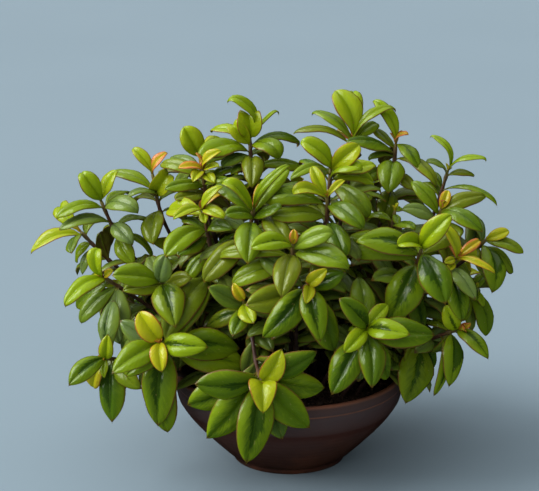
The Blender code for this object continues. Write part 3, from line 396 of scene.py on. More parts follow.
def lengthsAlong(path):
    return np.concatenate([[0], np.cumsum(np.linalg.norm(np.diff(path, axis=0), axis=1))])


def pointsAt(path, at):
    along = lengthsAlong(path)
    return np.stack([np.interp(at, along, path[:, k]) for k in range(path.shape[1])], axis=-1)


def atBelowTip(path, down):
    # the point so far below the tip, and the way the stem runs there
    whole = lengthsAlong(path)[-1]
    at = np.clip(whole - down, 0.0, whole - growth["rootSunk"])
    near = growth["wayReach"]
    here, ahead, behind = (pointsAt(path, p) for p in (at, min(at + near, whole), max(at - near, 0)))
    return here, unit(ahead - behind)


def stemRings(path):
    line = pointsAt(path, np.linspace(0, lengthsAlong(path)[-1], growth["stemPoints"]))
    return line, np.linspace(growth["stemBase"], growth["stemTip"], growth["stemPoints"])


def ringFaces(rows, columns):
    # quads of a grid whose columns close on themselves
    i, j = np.meshgrid(np.arange(rows - 1), np.arange(columns), indexing="ij")
    n = (j + 1) % columns
    return np.stack([i * columns + j, i * columns + n, (i + 1) * columns + n, (i + 1) * columns + j],
                    -1).reshape(-1, 4)


def poleFaces(rows, sides, pole):
    # triangles from the first ring to the point numbered pole, and from the last ring to the next point
    ring = np.arange(sides)
    n = (ring + 1) % sides
    start = (rows - 1) * sides
    return np.concatenate([np.stack([n, ring, ring * 0 + pole], 1),
                           np.stack([start + ring, start + n, ring * 0 + pole + 1], 1)])


def tube(line, radii, sides=6):
    # circles of radii square to the line, each turned from one fixed direction
    way = unit(np.concatenate([line[1:2] - line[:1], line[2:] - line[:-2], line[-1:] - line[-2:-1]]))
    side = unit(np.cross(way, [0.3, 0.9, 0.1]))
    other = np.cross(way, side)
    a = 2 * math.pi * np.arange(sides)[None, :, None] / sides
    rings = line[:, None] + radii[:, None, None] * (np.cos(a) * side[:, None] + np.sin(a) * other[:, None])
    return rings.reshape(-1, 3), ringFaces(len(line), sides)


def turned(profile, sides):
    # a profile of (radius, height) turned about Z
    a = 2 * math.pi * np.arange(sides) / sides
    r, z = np.asarray(profile)[:, :1], np.asarray(profile)[:, 1:]
    rings = np.stack([r * np.cos(a), r * np.sin(a), z + 0 * a], -1)
    return rings.reshape(-1, 3), ringFaces(len(r), sides)


def leafOutline(t):
    # half width along a solid's leaf as a share of its widest: t to the 0.6 times what is left to the 0.72
    s = np.clip((np.asarray(t, float) - 0.06) / 0.94, 0, 1)
    return s ** 0.6 * (1 - s) ** 0.72 / 0.4027


def leafFrame(leaf, t):
    # a leaf's middle rises over its chord by arch times its length times the sine of pi t to the 0.85
    chord = leaf["tip"] - leaf["base"]
    length = np.linalg.norm(chord, axis=-1, keepdims=True)
    along = chord / length
    rise = leaf["arch"] * length * np.sin(math.pi * t ** 0.85)
    middle = leaf["base"] + t * chord + rise * leaf["up"]
    slope = leaf["arch"] * math.pi * 0.85 * np.maximum(t, 0.02) ** -0.15 * np.cos(math.pi * t ** 0.85)
    forward = unit(along + slope * leaf["up"])
    across = np.cross(along, leaf["up"]) + 0 * forward
    return middle, forward, across, np.cross(across, forward)


# a solid leaf's faces: two points at its foot, two rings of four, and its tip
solidFaces = [(0, 2, 3), (0, 3, 4), (0, 4, 1), (1, 4, 5), (1, 5, 2), (1, 2, 0)]
for edge, ridge in ((2, 3), (4, 3), (4, 5), (2, 5)):
    solidFaces += [(edge, edge + 4, ridge + 4), (edge, ridge + 4, ridge), (edge + 4, 10, ridge + 4)]


def leafShapes(leaf):
    # a leaf's plain solid with its clearance, whole and without its foot, for the crossing tests
    grow = growth["clearance"] / 2
    t = np.array((0.0,) + growth["stations"] + (1.0,))[:, None]
    middle, _, across, normal = leafFrame(leaf, t)
    root, thick = growth["petiole"] + grow, growth["leafThick"] / 2 + grow
    half = leaf["width"] / 2 * leafOutline(t[1:3]) + grow
    low = middle[1:3] - growth["crown"] * leaf["width"] * normal[1:3]
    rings = np.stack([low - half * across[1:3], middle[1:3] + thick * normal[1:3],
                      low + half * across[1:3], middle[1:3] - thick * normal[1:3]], 1)
    foot = np.stack([middle[0] + root * normal[0], middle[0] - root * normal[0]])
    points = np.concatenate([foot, rings.reshape(-1, 3), middle[-1:]])
    outer = points.copy()
    outer[:2] += (points[[3, 5]] - points[:2]) * growth["drawnBack"]
    return shapeOf(points, solidFaces), shapeOf(outer, solidFaces)


def shapeOf(points, faces):
    # a mesh made ready for the crossing tests: its box's two corners and its tree
    faces = faces if isinstance(faces, list) else faces.tolist()
    return points.min(0), points.max(0), BVHTree.FromPolygons([Vector(p) for p in points], faces)


# what has been placed so far: whose it is, its shape, and its shape without the foot in its own stem
placed = []


def crossed(owner, whole, outer, ignored=()):
    # whether a shape crosses a placed one; two of one stem are tested without their feet
    for other, itsWhole, itsOuter in placed:
        if other in ignored:
            continue
        mine, its = (outer, itsOuter) if other == owner else (whole, itsWhole)
        apart = (mine[0] > its[1]).any() or (mine[1] < its[0]).any()
        if not apart and mine[2].overlap(its[2]):
            return True
    return False


def makeLeaf(base, way, tip, young, facing, wide=1.0):
    # its upper face is on the side of the stem's tip, turned to facing
    chord = tip - base
    length = np.linalg.norm(chord)
    along = chord / length
    up = way + facing
    up = up - (up @ along) * along
    if np.linalg.norm(up) < growth["leastUp"]:
        up = up + np.cross(np.cross(along, [0.0, 0.0, 1.0]), along)
    return {"base": base, "tip": tip, "up": unit(up), "arch": growth["arch"], "young": young,
            "width": length * growth["leafWidth"] * wide, "worn": 0.0, "inner": False, "look": {}}


def swung(point, pivot, axis, angle):
    v = point - pivot
    kept = axis * (axis @ v)
    return pivot + kept + (v - kept) * math.cos(angle) + np.cross(axis, v) * math.sin(angle)


def settle(plant, down, tip, young, facing, swings, wide=1.0, worn=0.0):
    # adds a leaf in the first of its near positions that crosses nothing; gives None where all of them do
    base, way = atBelowTip(plant["line"], down)
    side = unit(np.cross(way, tip - base))
    for shorter, lift, swing, arch in product(growth["shorter"], growth["lifts"], swings, growth["arches"]):
        aim = swung(swung(tip, base, side, lift), base, way, swing)
        leaf = makeLeaf(base, way, base + (aim - base) * shorter, young, facing, wide)
        leaf["arch"] *= arch
        whole, outer = leafShapes(leaf)
        if not crossed(plant["name"], whole, outer):
            placed.append((plant["name"], whole, outer))
            leaf.update(down=down, worn=worn)
            plant["leaves"].append(leaf)
            return leaf
    return None


def stand(plant):
    # a stem's line, from a place in the soil from which it meets no other stem
    nominal = (plant["tip"] if plant["via"] is None else plant["via"])[:2] * growth["footShare"]
    nominal = nominal * min(1.0, growth["footReach"] / max(np.linalg.norm(nominal), 1e-6))
    for step in range(growth["tries"]):
        angle = growth["goldenTurn"] * step
        aside = growth["footStep"] * math.sqrt(step) * np.array([math.cos(angle), math.sin(angle)])
        if np.linalg.norm(nominal + aside) > growth["footLimit"]:
            continue
        depth = soilTop(np.linalg.norm(nominal + aside)) - soilBed["holeDepth"]
        root = np.array([*(nominal + aside), depth])
        tip = plant["tip"] + (0 if plant["name"] in stems else np.array([*(aside * hidden["tipShift"]), 0]))
        path = stemPath(root, tip, plant["lean"], plant["reach"], plant["via"])
        plant["line"], plant["radii"] = stemRings(path)
        line, radii = plant["line"], plant["radii"]
        sleeve = shapeOf(*tube(line, radii + soilBed["holeRoom"] + growth["clearance"]))
        if not crossed("", sleeve, sleeve, ignored=("soil",)):
            shape = shapeOf(*tube(line, radii + growth["clearance"] / 2))
            placed.append((plant["name"], shape, shape))
            return


def outward(way, angle, opened, sag=0.0):
    # a direction opened out from way, at an angle round it, and pulled down by sag
    side = unit(np.cross(way, [0.2, 0.1, 1.0]))
    out = math.cos(angle) * side + math.sin(angle) * np.cross(way, side)
    return unit(math.cos(opened) * way + math.sin(opened) * out - np.array([0, 0, sag]))


def addPairs(plant, random):
    # a hidden stem's leaves: opposite pairs, each a quarter turn from the pair above it
    turn = random.uniform(0, math.pi)
    for number, (down, length, young, opened) in enumerate(hidden["pairs"]):
        base, way = atBelowTip(plant["line"], down / 1000)
        facing = hidden["faceOut"] * unit(base * [1, 1, 0]) + np.array([0, 0, hidden["faceUp"]])
        for half in (0, math.pi):
            angle = turn + half + number * math.pi / 2 + random.uniform(*hidden["turn"])
            aim = outward(way, angle, opened, hidden["sag"])
            tip = base + length / 1000 * random.uniform(*hidden["length"]) * aim
            settle(plant, down / 1000, tip, young, facing, growth["wideSwings"])


def addLeaf(plant, px, py, length, down, young=0.0, *wide):
    # a leaf from the tables: its tip's place in the picture and its length give how near the tip is
    base, way = atBelowTip(plant["line"], down / 1000)
    near = nearness(base)
    flat = place((px, py), near)
    spare = (length / 1000) ** 2 - ((flat - base) @ (flat - base))
    tip = place((px, py), near + math.copysign(math.sqrt(max(spare, 0.0)), length))
    facing = -viewAhead * growth["faceViewer"] * (1 + young)
    leaf = settle(plant, down / 1000, tip, young, facing, growth["smallSwings"], *wide)
    if leaf is None:
        return
    leaf["look"] = looks.get((px, py), {})
    if "faces" in leaf["look"]:
        along, faces = unit(leaf["tip"] - base), leaf["look"]["faces"]
        toward = way * (1 - faces) - viewAhead * faces
        leaf["up"] = unit(toward - (toward @ along) * along)


def layOut():
    # every stem's line and leaves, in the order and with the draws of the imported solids
    random = np.random.default_rng(growth["seed"])
    mound = [(r, soilTop(r) + growth["clearance"]) for r in (0.001, 0.035, 0.066)]
    for name, profile in (("pot", risen(bowl["outside"])), ("pot", risen(bowl["hollow"])), ("soil", mound)):
        shape = shapeOf(*turned(profile, bowl["testSides"]))
        placed.append((name, shape, shape))
    plants = {}
    for name, row in stems.items():
        lean = viewRight * row["lean"][0] + viewUp * row["lean"][1] - viewAhead * row["lean"][2]
        via = row["via"] and place(row["via"][:2], row["via"][2] / 1000)
        plants[name] = {"tip": place(row["tip"], row["near"] / 1000), "lean": unit(lean),
                        "reach": row["reach"], "via": via}
    for name, (count, bearings, radius, height) in hidden["rings"].items():
        for i in range(count):
            bearing = math.radians(np.interp(i / (count - 1), (0, 1), bearings))
            out = np.array([math.cos(bearing), math.sin(bearing), 0.0])
            tip = out * radius * random.uniform(*hidden["spread"])
            tip[2] = height * random.uniform(*hidden["spread"])
            lean = unit(out * hidden["leansOut"] + np.array([0, 0, hidden["leansUp"]]))
            plants[f"{name}_{i + 1}"] = {"tip": tip, "lean": lean, "reach": hidden["reach"], "via": None}
    for name, plant in plants.items():
        plant.update(name=name, leaves=[])
        stand(plant)
    for name, row in stems.items():
        for leafRow in row["leaves"]:
            addLeaf(plants[name], *leafRow)
    for name, plant in plants.items():
        if name not in stems:
            addPairs(plant, random)
    return plants


def inTheOpen(tip, base):
    # whether a leaf would cover one of the places where the wall shows through
    spots = pixel(base + (tip - base) * np.linspace(*extras["openAlong"], 4)[:, None])
    circles = np.array(extras["openPlaces"], float)
    away = np.linalg.norm(spots[:, None] - circles[None, :, :2], axis=-1)
    return (away < circles[:, 2] + extras["openMargin"]).any()


def addPartners(plant, random):
    # leaves grow in opposite pairs: each leaf without a partner gets one, where it points away
    for leaf in list(plant["leaves"]):
        base, way = atBelowTip(plant["line"], leaf["down"])
        aim = swung(leaf["tip"], base, way, math.pi) - base
        length = random.uniform(*extras["partnerLength"])
        if unit(aim) @ viewAhead < extras["partnerAway"]:
            continue
        near = [other for other in plant["leaves"] if abs(other["down"] - leaf["down"]) < extras["sameNode"]]
        if any(unit(other["tip"] - base) @ unit(aim) > extras["sameWay"] for other in near):
            continue
        tip = base + aim * length
        if not inTheOpen(tip, base):
            settle(plant, leaf["down"], tip, leaf["young"], np.zeros(3), growth["smallSwings"],
                   worn=random.uniform(*extras["partnerWorn"]))


def addInner(plant, random):
    # old pairs down a stem to its bare foot, each a quarter turn from the last, standing wide open
    line = plant["line"]
    foot = lengthsAlong(line)[-1] - extras["innerEnd"]
    down = max(leaf["down"] for leaf in plant["leaves"]) + extras["innerStart"]
    turn = random.uniform(0, math.pi)
    while down < foot:
        base, way = atBelowTip(line, down)
        for half in (0, math.pi):
            angle = turn + half + random.uniform(*extras["innerTurn"])
            opened, length = random.uniform(*extras["innerOpen"]), random.uniform(*extras["innerLength"])
            kept = random.uniform() < extras["innerKept"]
            tip = base + length * outward(way, angle, opened, extras["innerSag"])
            if kept and not inTheOpen(tip, base):
                leaf = settle(plant, down, tip, 0.0, np.array([0, 0, hidden["faceUp"]]),
                              growth["wideSwings"], worn=random.uniform(*extras["innerWorn"]))
                if leaf:
                    leaf["inner"] = True
        down += extras["innerStep"] * random.uniform(*extras["innerUneven"])
        turn += math.pi / 2


def addBuds(plant, random):
    # two pairs of folded leaves, a few millimetres long, at the very tip
    base, way = atBelowTip(plant["line"], 0.0)
    turn = random.uniform(0, math.pi)
    least, share = extras["budYoung"]
    young = min(1.0, least + max(leaf["young"] for leaf in plant["leaves"]) * share)
    for number in range(4):
        angle = turn + number * math.pi + (number // 2) * math.pi / 2
        openShare, sizeShare = (1.0, 1.0) if number < 2 else extras["budSecond"]
        opened = random.uniform(*extras["budOpen"]) * openShare
        size = extras["bigBuds"].get(plant["name"], 1.0) * sizeShare
        tip = base + random.uniform(*extras["bud"]) * size * outward(way, angle, opened)
        leaf = makeLeaf(base, way, tip, young, np.zeros(3), extras["budWide"])
        leaf.update(down=0.0, arch=extras["budArch"])
        plant["leaves"].append(leaf)


plants = layOut()
counted = sum(len(plant["leaves"]) for plant in plants.values())
random = np.random.default_rng(extras["seed"])
for name, rows in more.items():
    for row in rows:
        addLeaf(plants[name], *row)
for plant in plants.values():
    addPartners(plant, random)
for plant in plants.values():
    addInner(plant, random)
for plant in plants.values():
    addBuds(plant, random)
total = sum(len(plant["leaves"]) for plant in plants.values())
print("leaves laid out:", counted, "as in the solids,", total, "in all")


class Wire:
    # an output of a shader node that takes part in sums such as 1 - mask * 0.5
    def __init__(self, sheet, socket):
        self.sheet, self.socket = sheet, socket

    def maths(self, operation, *values):
        return self.sheet.node("ShaderNodeMath", dict(enumerate(values)), operation=operation)

    def __add__(self, other):
        return self.maths("ADD", self, other)

    def __sub__(self, other):
        return self.maths("SUBTRACT", self, other)

    def __rsub__(self, other):
        return self.maths("SUBTRACT", other, self)

    def __mul__(self, other):
        return self.maths("MULTIPLY", self, other)

    __radd__, __rmul__ = __add__, __mul__


class Finish:
    # a material with its nodes
    def __init__(self, name, **constants):
        self.material = bpy.data.materials.new(name)
        self.material.use_nodes = True
        self.tree = self.material.node_tree
        self.shader = self.tree.nodes["Principled BSDF"]
        for socket, value in constants.items():
            self.feed(self.shader.inputs[socket.replace("_", " ")], value)

    def feed(self, socket, value):
        if isinstance(value, Wire):
            self.tree.links.new(value.socket, socket)
        elif socket.type == "RGBA":
            socket.default_value = (*value[:3], 1.0)
        else:
            socket.default_value = value

    def node(self, kind, sockets, output=0, stops=(), **settings):
        made = self.tree.nodes.new(kind)
        for key, value in settings.items():
            setattr(made, key, value)
        if stops:
            elements = made.color_ramp.elements
            while len(elements) < len(stops):
                elements.new(0.5)
            for element, (at, colour) in zip(elements, stops):
                element.position, element.color = at, (*colour, 1.0)
        for key, value in sockets.items():
            self.feed(made.inputs[key], value)
        if isinstance(output, tuple):
            return [Wire(self, made.outputs[k]) for k in output]
        return Wire(self, made.outputs[output])

    def noise(self, vector, scale, detail=2.0, roughness=0.5):
        return self.node("ShaderNodeTexNoise", {"Vector": vector, "Scale": scale, "Detail": detail,
                                                "Roughness": roughness})

    def step(self, value, low, high, toLow=0.0, toHigh=1.0):
        # an even slope from toLow at low to toHigh at high, rounded at both ends
        return self.node("ShaderNodeMapRange", {0: value, 1: low, 2: high, 3: toLow, 4: toHigh},
                         interpolation_type="SMOOTHSTEP")

    def mix(self, factor, one, other):
        return self.node("ShaderNodeMix", {0: factor, 6: one, 7: other}, 2, data_type="RGBA")

    def layers(self, colour, *rows):
        # colours laid over one another, each as its mask says
        for mask, over in rows:
            colour = self.mix(mask, colour, over)
        return colour

    def ramp(self, factor, *stops):
        return self.node("ShaderNodeValToRGB", {0: factor}, stops=stops)

    def combine(self, x, y, z):
        return self.node("ShaderNodeCombineXYZ", {0: x, 1: y, 2: z})

    def parts(self, vector):
        return self.node("ShaderNodeSeparateXYZ", {0: vector}, (0, 1, 2))

    def attribute(self, name):
        return self.node("ShaderNodeAttribute", {}, "Vector", attribute_name=name)

    def local(self):
        return self.node("ShaderNodeTexCoord", {}, "Object")

    def finished(self, colour, rough, relief=None):
        # relief is its height, how deep it goes and its strength
        self.feed(self.shader.inputs["Base Color"], colour)
        self.feed(self.shader.inputs["Roughness"], rough)
        if relief:
            bump = self.node("ShaderNodeBump", dict(zip(("Height", "Distance", "Strength"), relief)))
            self.feed(self.shader.inputs["Normal"], bump)
        return self.material


leafColours = {
    "green": (0.142, 0.220, 0.005), "deepGreen": (0.056, 0.114, 0.004), "oldGreen": (0.105, 0.150, 0.028),
    # dustyAndSheen is a pale bluish green, partly dust on the leaf and partly a painted sheen of light
    "olive": (0.165, 0.185, 0.010), "dustyAndSheen": (0.185, 0.250, 0.105), "bronze": (0.200, 0.150, 0.012),
    "flame": (0.018, 0.050, 0.004), "rib": (0.055, 0.115, 0.004), "freckle": (0.28, 0.24, 0.06),
    "lime": (0.240, 0.350, 0.004), "yellow": (0.430, 0.435, 0.010), "gold": (0.500, 0.330, 0.012),
    "orange": (0.560, 0.180, 0.040), "edge": (0.150, 0.065, 0.018), "youngEdge": (0.330, 0.095, 0.020),
    "under": (0.165, 0.165, 0.018), "underRed": (0.130, 0.075, 0.018), "stalk": (0.170, 0.125, 0.020),
    "tip": (0.100, 0.040, 0.010), "hotTip": (0.270, 0.075, 0.020),
}


def leafFinish():
    tone = leafColours
    f = Finish("waxy_leaf", Subsurface_Weight=0.12, Subsurface_Radius=(0.7, 1.0, 0.1),
               Subsurface_Scale=0.0012, Specular_IOR_Level=0.45, Specular_Tint=(0.92, 1.0, 0.86, 1.0))
    s, t, side = f.parts(f.attribute("leafPlace"))
    young, draw, worn = f.parts(f.attribute("leafKind"))
    flame, tint, high = f.parts(f.attribute("leafMark"))
    across = s.maths("ABSOLUTE", s)
    forward = t - across * 0.30
    # tone that drifts over a leaf, mottling drawn out along its side veins, pores, odd freckles, and a
    # rough line for the margin
    seat = f.combine(s, t * 2.0, draw * 37.0)
    patches = f.noise(seat, 1.7, 3.0)
    mottle = f.noise(f.combine(s * 2.6, forward * 22.0, draw * 41.0), 1.0, 3.0, 0.6)
    pores = f.noise(seat, 26.0, 1.0)
    spots = f.noise(f.combine(s, t * 2.0, draw * 71.0 + 9.0), 7.0, 1.0)
    streaks = f.noise(f.combine(across * 2.2 + draw * 53.0, forward * 26.0, s * 1.5), 1.0, 2.0)
    # the flame reaches further out on one side of the rib, by the leaf's draw
    width = f.ramp(t, (0.06, (0, 0, 0)), (0.2, (0.8,) * 3), (0.42, (1, 1, 1)), (0.66, (0.55,) * 3),
                   (0.86, (0, 0, 0)))
    teeth = f.noise(f.combine(s * 3.0 + draw * 31.0, forward * 13.0, draw * 7.0), 1.0, 3.0, 0.65)
    reach = width * flame * 0.50 * (1.0 + s * (draw - 0.5) * 2.4)
    inFlame = f.step(reach - across + (teeth - 0.5) * 0.75, -0.02, 0.14)
    inFlame = inFlame * f.step(flame, 0.05, 0.4, 0.0, 0.85)
    # old leaves by depth of tone and tint, paler and browner towards the margin
    depth = (patches - 0.5) * 0.9 + (mottle - 0.5) * 1.1 + (draw - 0.5) * 0.9 - (across - 0.5) * 0.45 + 0.5
    bronze = f.step(across + (patches - 0.5) * 0.9 + (mottle - 0.5) * 0.4, 0.72, 1.15)
    bronze = bronze * f.step(tint, 0.2, 0.8)
    # a low tint lays on the pale dusty tone, which is partly a painted sheen of the light from the left
    green = f.layers(
        tone["green"], (f.step(depth, 0.16, 0.84), tone["deepGreen"]),
        (f.step(tint, 0.50, 1.0, 0.0, 0.75), tone["olive"]),
        (f.step(tint, 0.02, 0.18, 0.45, 0.0), tone["dustyAndSheen"]), (worn * 0.85, tone["oldGreen"]),
        (f.step(across + (mottle - 0.5) * 0.3, 0.45, 0.95, 0.0, 0.3), tone["lime"]),
        (bronze * 0.55, tone["bronze"]))
    # young ones from lime to orange
    local = young + (across - 0.6) * young * 0.30 + (patches - 0.5) * 0.25 * young + (mottle - 0.5) * 0.12
    fresh = f.ramp(local, (0.0, tone["green"]), (0.3, tone["lime"]), (0.70, tone["yellow"]),
                   (0.92, tone["gold"]), (1.0, tone["orange"]))
    rib = f.step(across, 0.012, 0.05, 1.0, 0.0) * f.step(t, 0.6, 0.97, 0.45, 0.0)
    top = f.layers(green, (f.step(young, 0.03, 0.3), fresh), (inFlame, tone["flame"]),
                   (rib * (1.0 - young * 0.8), tone["rib"]),
                   (f.step(pores, 0.62, 0.8, 0.0, 0.25), tone["lime"]))
    flush = f.step(f.noise(f.combine(s, t * 2.0, draw * 37.0 + 5.0), 1.3, 2.0) + draw * 0.3, 0.5, 0.85)
    under = f.layers(tone["under"], (flush * (1.0 - young * 0.7), tone["underRed"]),
                     (f.step(young, 0.1, 0.5, 0.0, 0.9), fresh),
                     (f.step(across, 0.03, 0.09, 0.5, 0.0), tone["lime"]))
    margin = f.step(across + young * 0.05 + (streaks - 0.5) * 0.06, 0.925, 0.97)
    margin = margin * f.step(tint, 0.1, 0.7, 0.4, 0.95)
    skin = f.layers(
        under, (f.step(side, -0.5, 0.5), top),
        (f.step(spots, 0.70, 0.78, 0.0, 0.5) * (1.0 - young), tone["freckle"]),
        (margin, f.mix(f.step(young, 0.2, 0.7), tone["edge"], tone["youngEdge"])),
        (f.step(t - high * 0.03, 0.90, 0.96, 0.0, 0.8), f.mix(high, tone["tip"], tone["hotTip"])),
        (f.step(t, 0.03, 0.11, 0.9, 0.0), tone["stalk"]))
    rough = f.step(side, -0.5, 0.5, 0.5, 0.0) + (0.24 + worn * 0.14) + (patches - 0.5) * 0.14
    veins = s.maths("SINE", forward * 62.0)
    swell = f.noise(f.combine(s, t * 2.6, draw * 19.0), 2.6, 1.0)
    return f.finished(skin, rough, (veins * 0.2 + pores * 0.5 + mottle * 0.6 + swell * 5.0, 0.00014, 0.6))


def barkFinish():
    # green and purple at the tip, then dark brown bark with pale pores and lengthwise cracks
    f = Finish("purple_brown_stem")
    around, down, swell = f.parts(f.attribute("leafPlace"))
    cracks = f.noise(f.combine(around * 5.0, down * 60.0, 2.0), 2.2, 3.0)
    pores = f.noise(f.local(), 900.0, 1.0)
    young = f.ramp(down * 12.0 + (cracks - 0.5) * 0.2, (0.0, (0.20, 0.17, 0.035)),
                   (0.14, (0.13, 0.050, 0.026)), (0.45, (0.055, 0.022, 0.018)), (1.0, (0.040, 0.022, 0.016)))
    bark = f.layers(young, (f.step(cracks, 0.42, 0.62, 0.0, 0.6), (0.020, 0.010, 0.008)),
                    (f.step(pores, 0.66, 0.78, 0.0, 0.5), (0.16, 0.11, 0.075)),
                    (f.step(swell, 0.3, 1.0, 0.0, 0.45), (0.12, 0.075, 0.04)))
    return f.finished(bark, f.step(cracks, 0.3, 0.7, 0.42, 0.62), (cracks + pores * 0.3, 0.0003, 0.6))


def glazeFinish():
    # a near black glaze, redder and darker towards the foot, breaking red-brown over the cut line; over the
    # lip the red-brown is partly glaze breaking and partly a painted highlight, and the bluish grey of the
    # upper wall is painted sheen
    f = Finish("dark_brown_glaze", Specular_IOR_Level=0.4)
    seat = f.local()
    x, y, z = f.parts(seat)
    height = z * (1.0 / bowl["height"])
    cloud = f.noise(seat, 38.0, 4.0, 0.6)
    speck = f.noise(seat, 1500.0, 1.0)
    blush = f.noise(seat, 14.0, 4.0, 0.7)
    # the stops at 0.74 and 0.86, bluish grey, are painted sheen on the upper wall
    wall = f.ramp(height + (cloud - 0.5) * 0.16, (0.0, (0.034, 0.016, 0.012)), (0.30, (0.058, 0.026, 0.020)),
                  (0.58, (0.076, 0.036, 0.030)), (0.74, (0.076, 0.044, 0.041)),
                  (0.86, (0.080, 0.053, 0.053)), (1.0, (0.095, 0.050, 0.040)))
    line = f.step(height, 0.868, 0.876) * f.step(height, 0.882, 0.892, 1.0, 0.0)
    # the lip's red-brown band is partly glaze breaking over the edge and partly a painted highlight along the
    # lip
    lip = f.step(height + (blush - 0.5) * 0.02, 0.965, 0.992)
    rustAndHighlight = (0.260, 0.100, 0.055)
    # the hollow, told by its distance from the axis
    reach = f.node("ShaderNodeVectorMath", {0: f.combine(x, y, 0.0)}, "Value", operation="LENGTH")
    hollow = f.step(reach, 0.0708, 0.0722, 1.0, 0.0) * f.step(height, 0.5, 0.7)
    wall = f.layers(
        wall,
        (f.step(speck, 0.60, 0.72, 0.0, 0.5) * f.step(height, 0.2, 0.8, 1.0, 0.3), (0.200, 0.075, 0.042)),
        (f.step(blush, 0.48, 0.68, 0.0, 0.45) * f.step(height, 0.1, 0.9, 1.0, 0.25), (0.150, 0.048, 0.022)),
        (line * f.step(blush, 0.35, 0.6, 0.3, 0.9), rustAndHighlight), (lip * f.step(blush, 0.3, 0.65, 0.35, 0.85), rustAndHighlight),
        (hollow * 0.9, (0.060, 0.014, 0.008)))
    rough = f.step(cloud, 0.3, 0.7, 0.30, 0.44) + f.step(speck, 0.60, 0.72, 0.0, 0.12)
    return f.finished(wall, rough, (cloud * 0.7 + speck * 0.25, 0.00035, 0.5))


def mixFinish():
    # damp peat with paler bark and fibre
    f = Finish("damp_potting_mix")
    seat = f.local()
    clods = f.noise(seat, 160.0, 4.0, 0.65)
    bits = f.noise(seat, 620.0, 2.0)
    earth = f.ramp(clods, (0.3, (0.012, 0.007, 0.005)), (0.55, (0.036, 0.021, 0.013)),
                   (0.75, (0.075, 0.044, 0.026)))
    earth = f.mix(f.step(bits, 0.62, 0.74, 0.0, 0.6), earth, (0.17, 0.11, 0.06))
    return f.finished(earth, f.step(clods, 0.3, 0.7, 0.95, 0.75), (clods + bits * 0.5, 0.0012, 0.8))


def floorFinish():
    f = Finish("pale_floor")
    cloud = f.noise(f.local(), 3.0, 2.0)
    pale = f.mix(cloud, (0.228, 0.306, 0.364), (0.240, 0.318, 0.376))
    return f.finished(pale, f.step(cloud, 0.3, 0.7, 0.75, 0.8))


def slopeLine(points, at):
    # a smooth curve through the points that never swings past them: cubic pieces whose slopes are the
    # harmonic mean of the slopes on both sides, or level where the curve turns back
    along = lengthsAlong(points)
    gap = np.diff(along)[:, None]
    rate = np.diff(points, axis=0) / gap
    same = rate[:-1] * rate[1:] > 0
    inner = np.where(same, 2 * rate[:-1] * rate[1:] / np.where(same, rate[:-1] + rate[1:], 1.0), 0.0)
    slopes = np.concatenate([rate[:1], inner, rate[-1:]])
    k = np.clip(np.searchsorted(along, at, side="right") - 1, 0, len(gap) - 1)
    u = ((at - along[k]) / gap[k, 0])[:, None]
    ends = (2 * u ** 3 - 3 * u ** 2 + 1) * points[k] + (3 * u ** 2 - 2 * u ** 3) * points[k + 1]
    pulls = (u ** 3 - 2 * u ** 2 + u) * slopes[k] + (u ** 3 - u ** 2) * slopes[k + 1]
    return ends + pulls * gap[k]


def added(name, data):
    # a new object in the scene
    made = bpy.data.objects.new(name, data)
    bpy.context.scene.collection.objects.link(made)
    return made


def meshPiece(name, points, faces, materials, replaced, shadeIndex=None, attributes=None):
    # a piece from whole arrays, in place with its object at the origin
    mesh = bpy.data.meshes.new(name)
    mesh.from_pydata(points, [], faces)
    for material in materials:
        mesh.materials.append(material)
    if shadeIndex is not None:
        mesh.polygons.foreach_set("material_index", shadeIndex.astype(np.int32))
    mesh.polygons.foreach_set("use_smooth", np.ones(len(mesh.polygons), bool))
    for key, values in (attributes or {}).items():
        made = mesh.attributes.new(key, "FLOAT_VECTOR", "POINT")
        made.data.foreach_set("vector", values.astype(np.float32).ravel())
    mesh.update()
    piece = added(name, mesh)
    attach(piece, "root")
    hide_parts(replaced)
    return piece


leafForm = {
    # half a leaf's columns from rib to margin, and its rows from stalk to tip, also for an inner leaf
    "columns": (0.07, 0.30, 0.62, 0.88, 1.0),
    "rows": (0.0, 0.03, 0.062, 0.10, 0.16, 0.24, 0.34, 0.45, 0.56, 0.66, 0.745, 0.81, 0.865, 0.91, 0.945,
             0.975, 1.0),
    "innerColumns": (0.10, 0.55, 1.0), "innerRows": (0.0, 0.05, 0.11, 0.22, 0.38, 0.56, 0.74, 0.88, 1.0),
    # outline powers at foot and tip for a leaf that is widest low down and one widest past its middle
    "rise": (0.50, 0.82), "bulge": (1.4, 2.2), "fall": (0.70, 0.92), "slim": 0.95, "youngWider": 0.2,
    # where the blade ends and the drawn-out point takes over, and that point's width
    "bladeEnd": 0.965, "point": 0.11,
    "crest": (0.13, 0.22), "droop": (0.16, 0.36), "fold": 0.42, "foldDrawn": (0.4, 1.2), "groove": 0.10,
    # how fast a leaf folds, and stops drooping, the younger it is
    "foldByYoung": 1.6,
    # the tip's hook in radians for low and high leaves, where it starts, which heights are low and high,
    # and the length from which a leaf hooks in full
    "hook": (0.1, 0.9), "highHook": (0.8, 2.2), "hookFrom": (0.76, 0.88), "hookHeights": (0.11, 0.19),
    "youngHigher": 0.25, "hookLength": 0.018,
    "sway": 0.035, "twist": 0.22, "wave": 0.07, "uneven": 0.07,
    # thickness at the rib and the margin, what the foot adds, and the half width that has it in full; the
    # stalk's half width, at most this share of the leaf's length, and the least anywhere
    "thick": 0.0009, "edgeThick": 0.0003, "footThicker": 0.0005, "fullFrom": 0.0012,
    "stalkHalf": 0.00075, "stalkShare": 0.035, "leastHalf": 0.00004,
    # the dark flame is strongest on low leaves, and missing on most of the high ones
    "flameHeights": (0.05, 0.17), "flame": (1.0, 0.25),
}


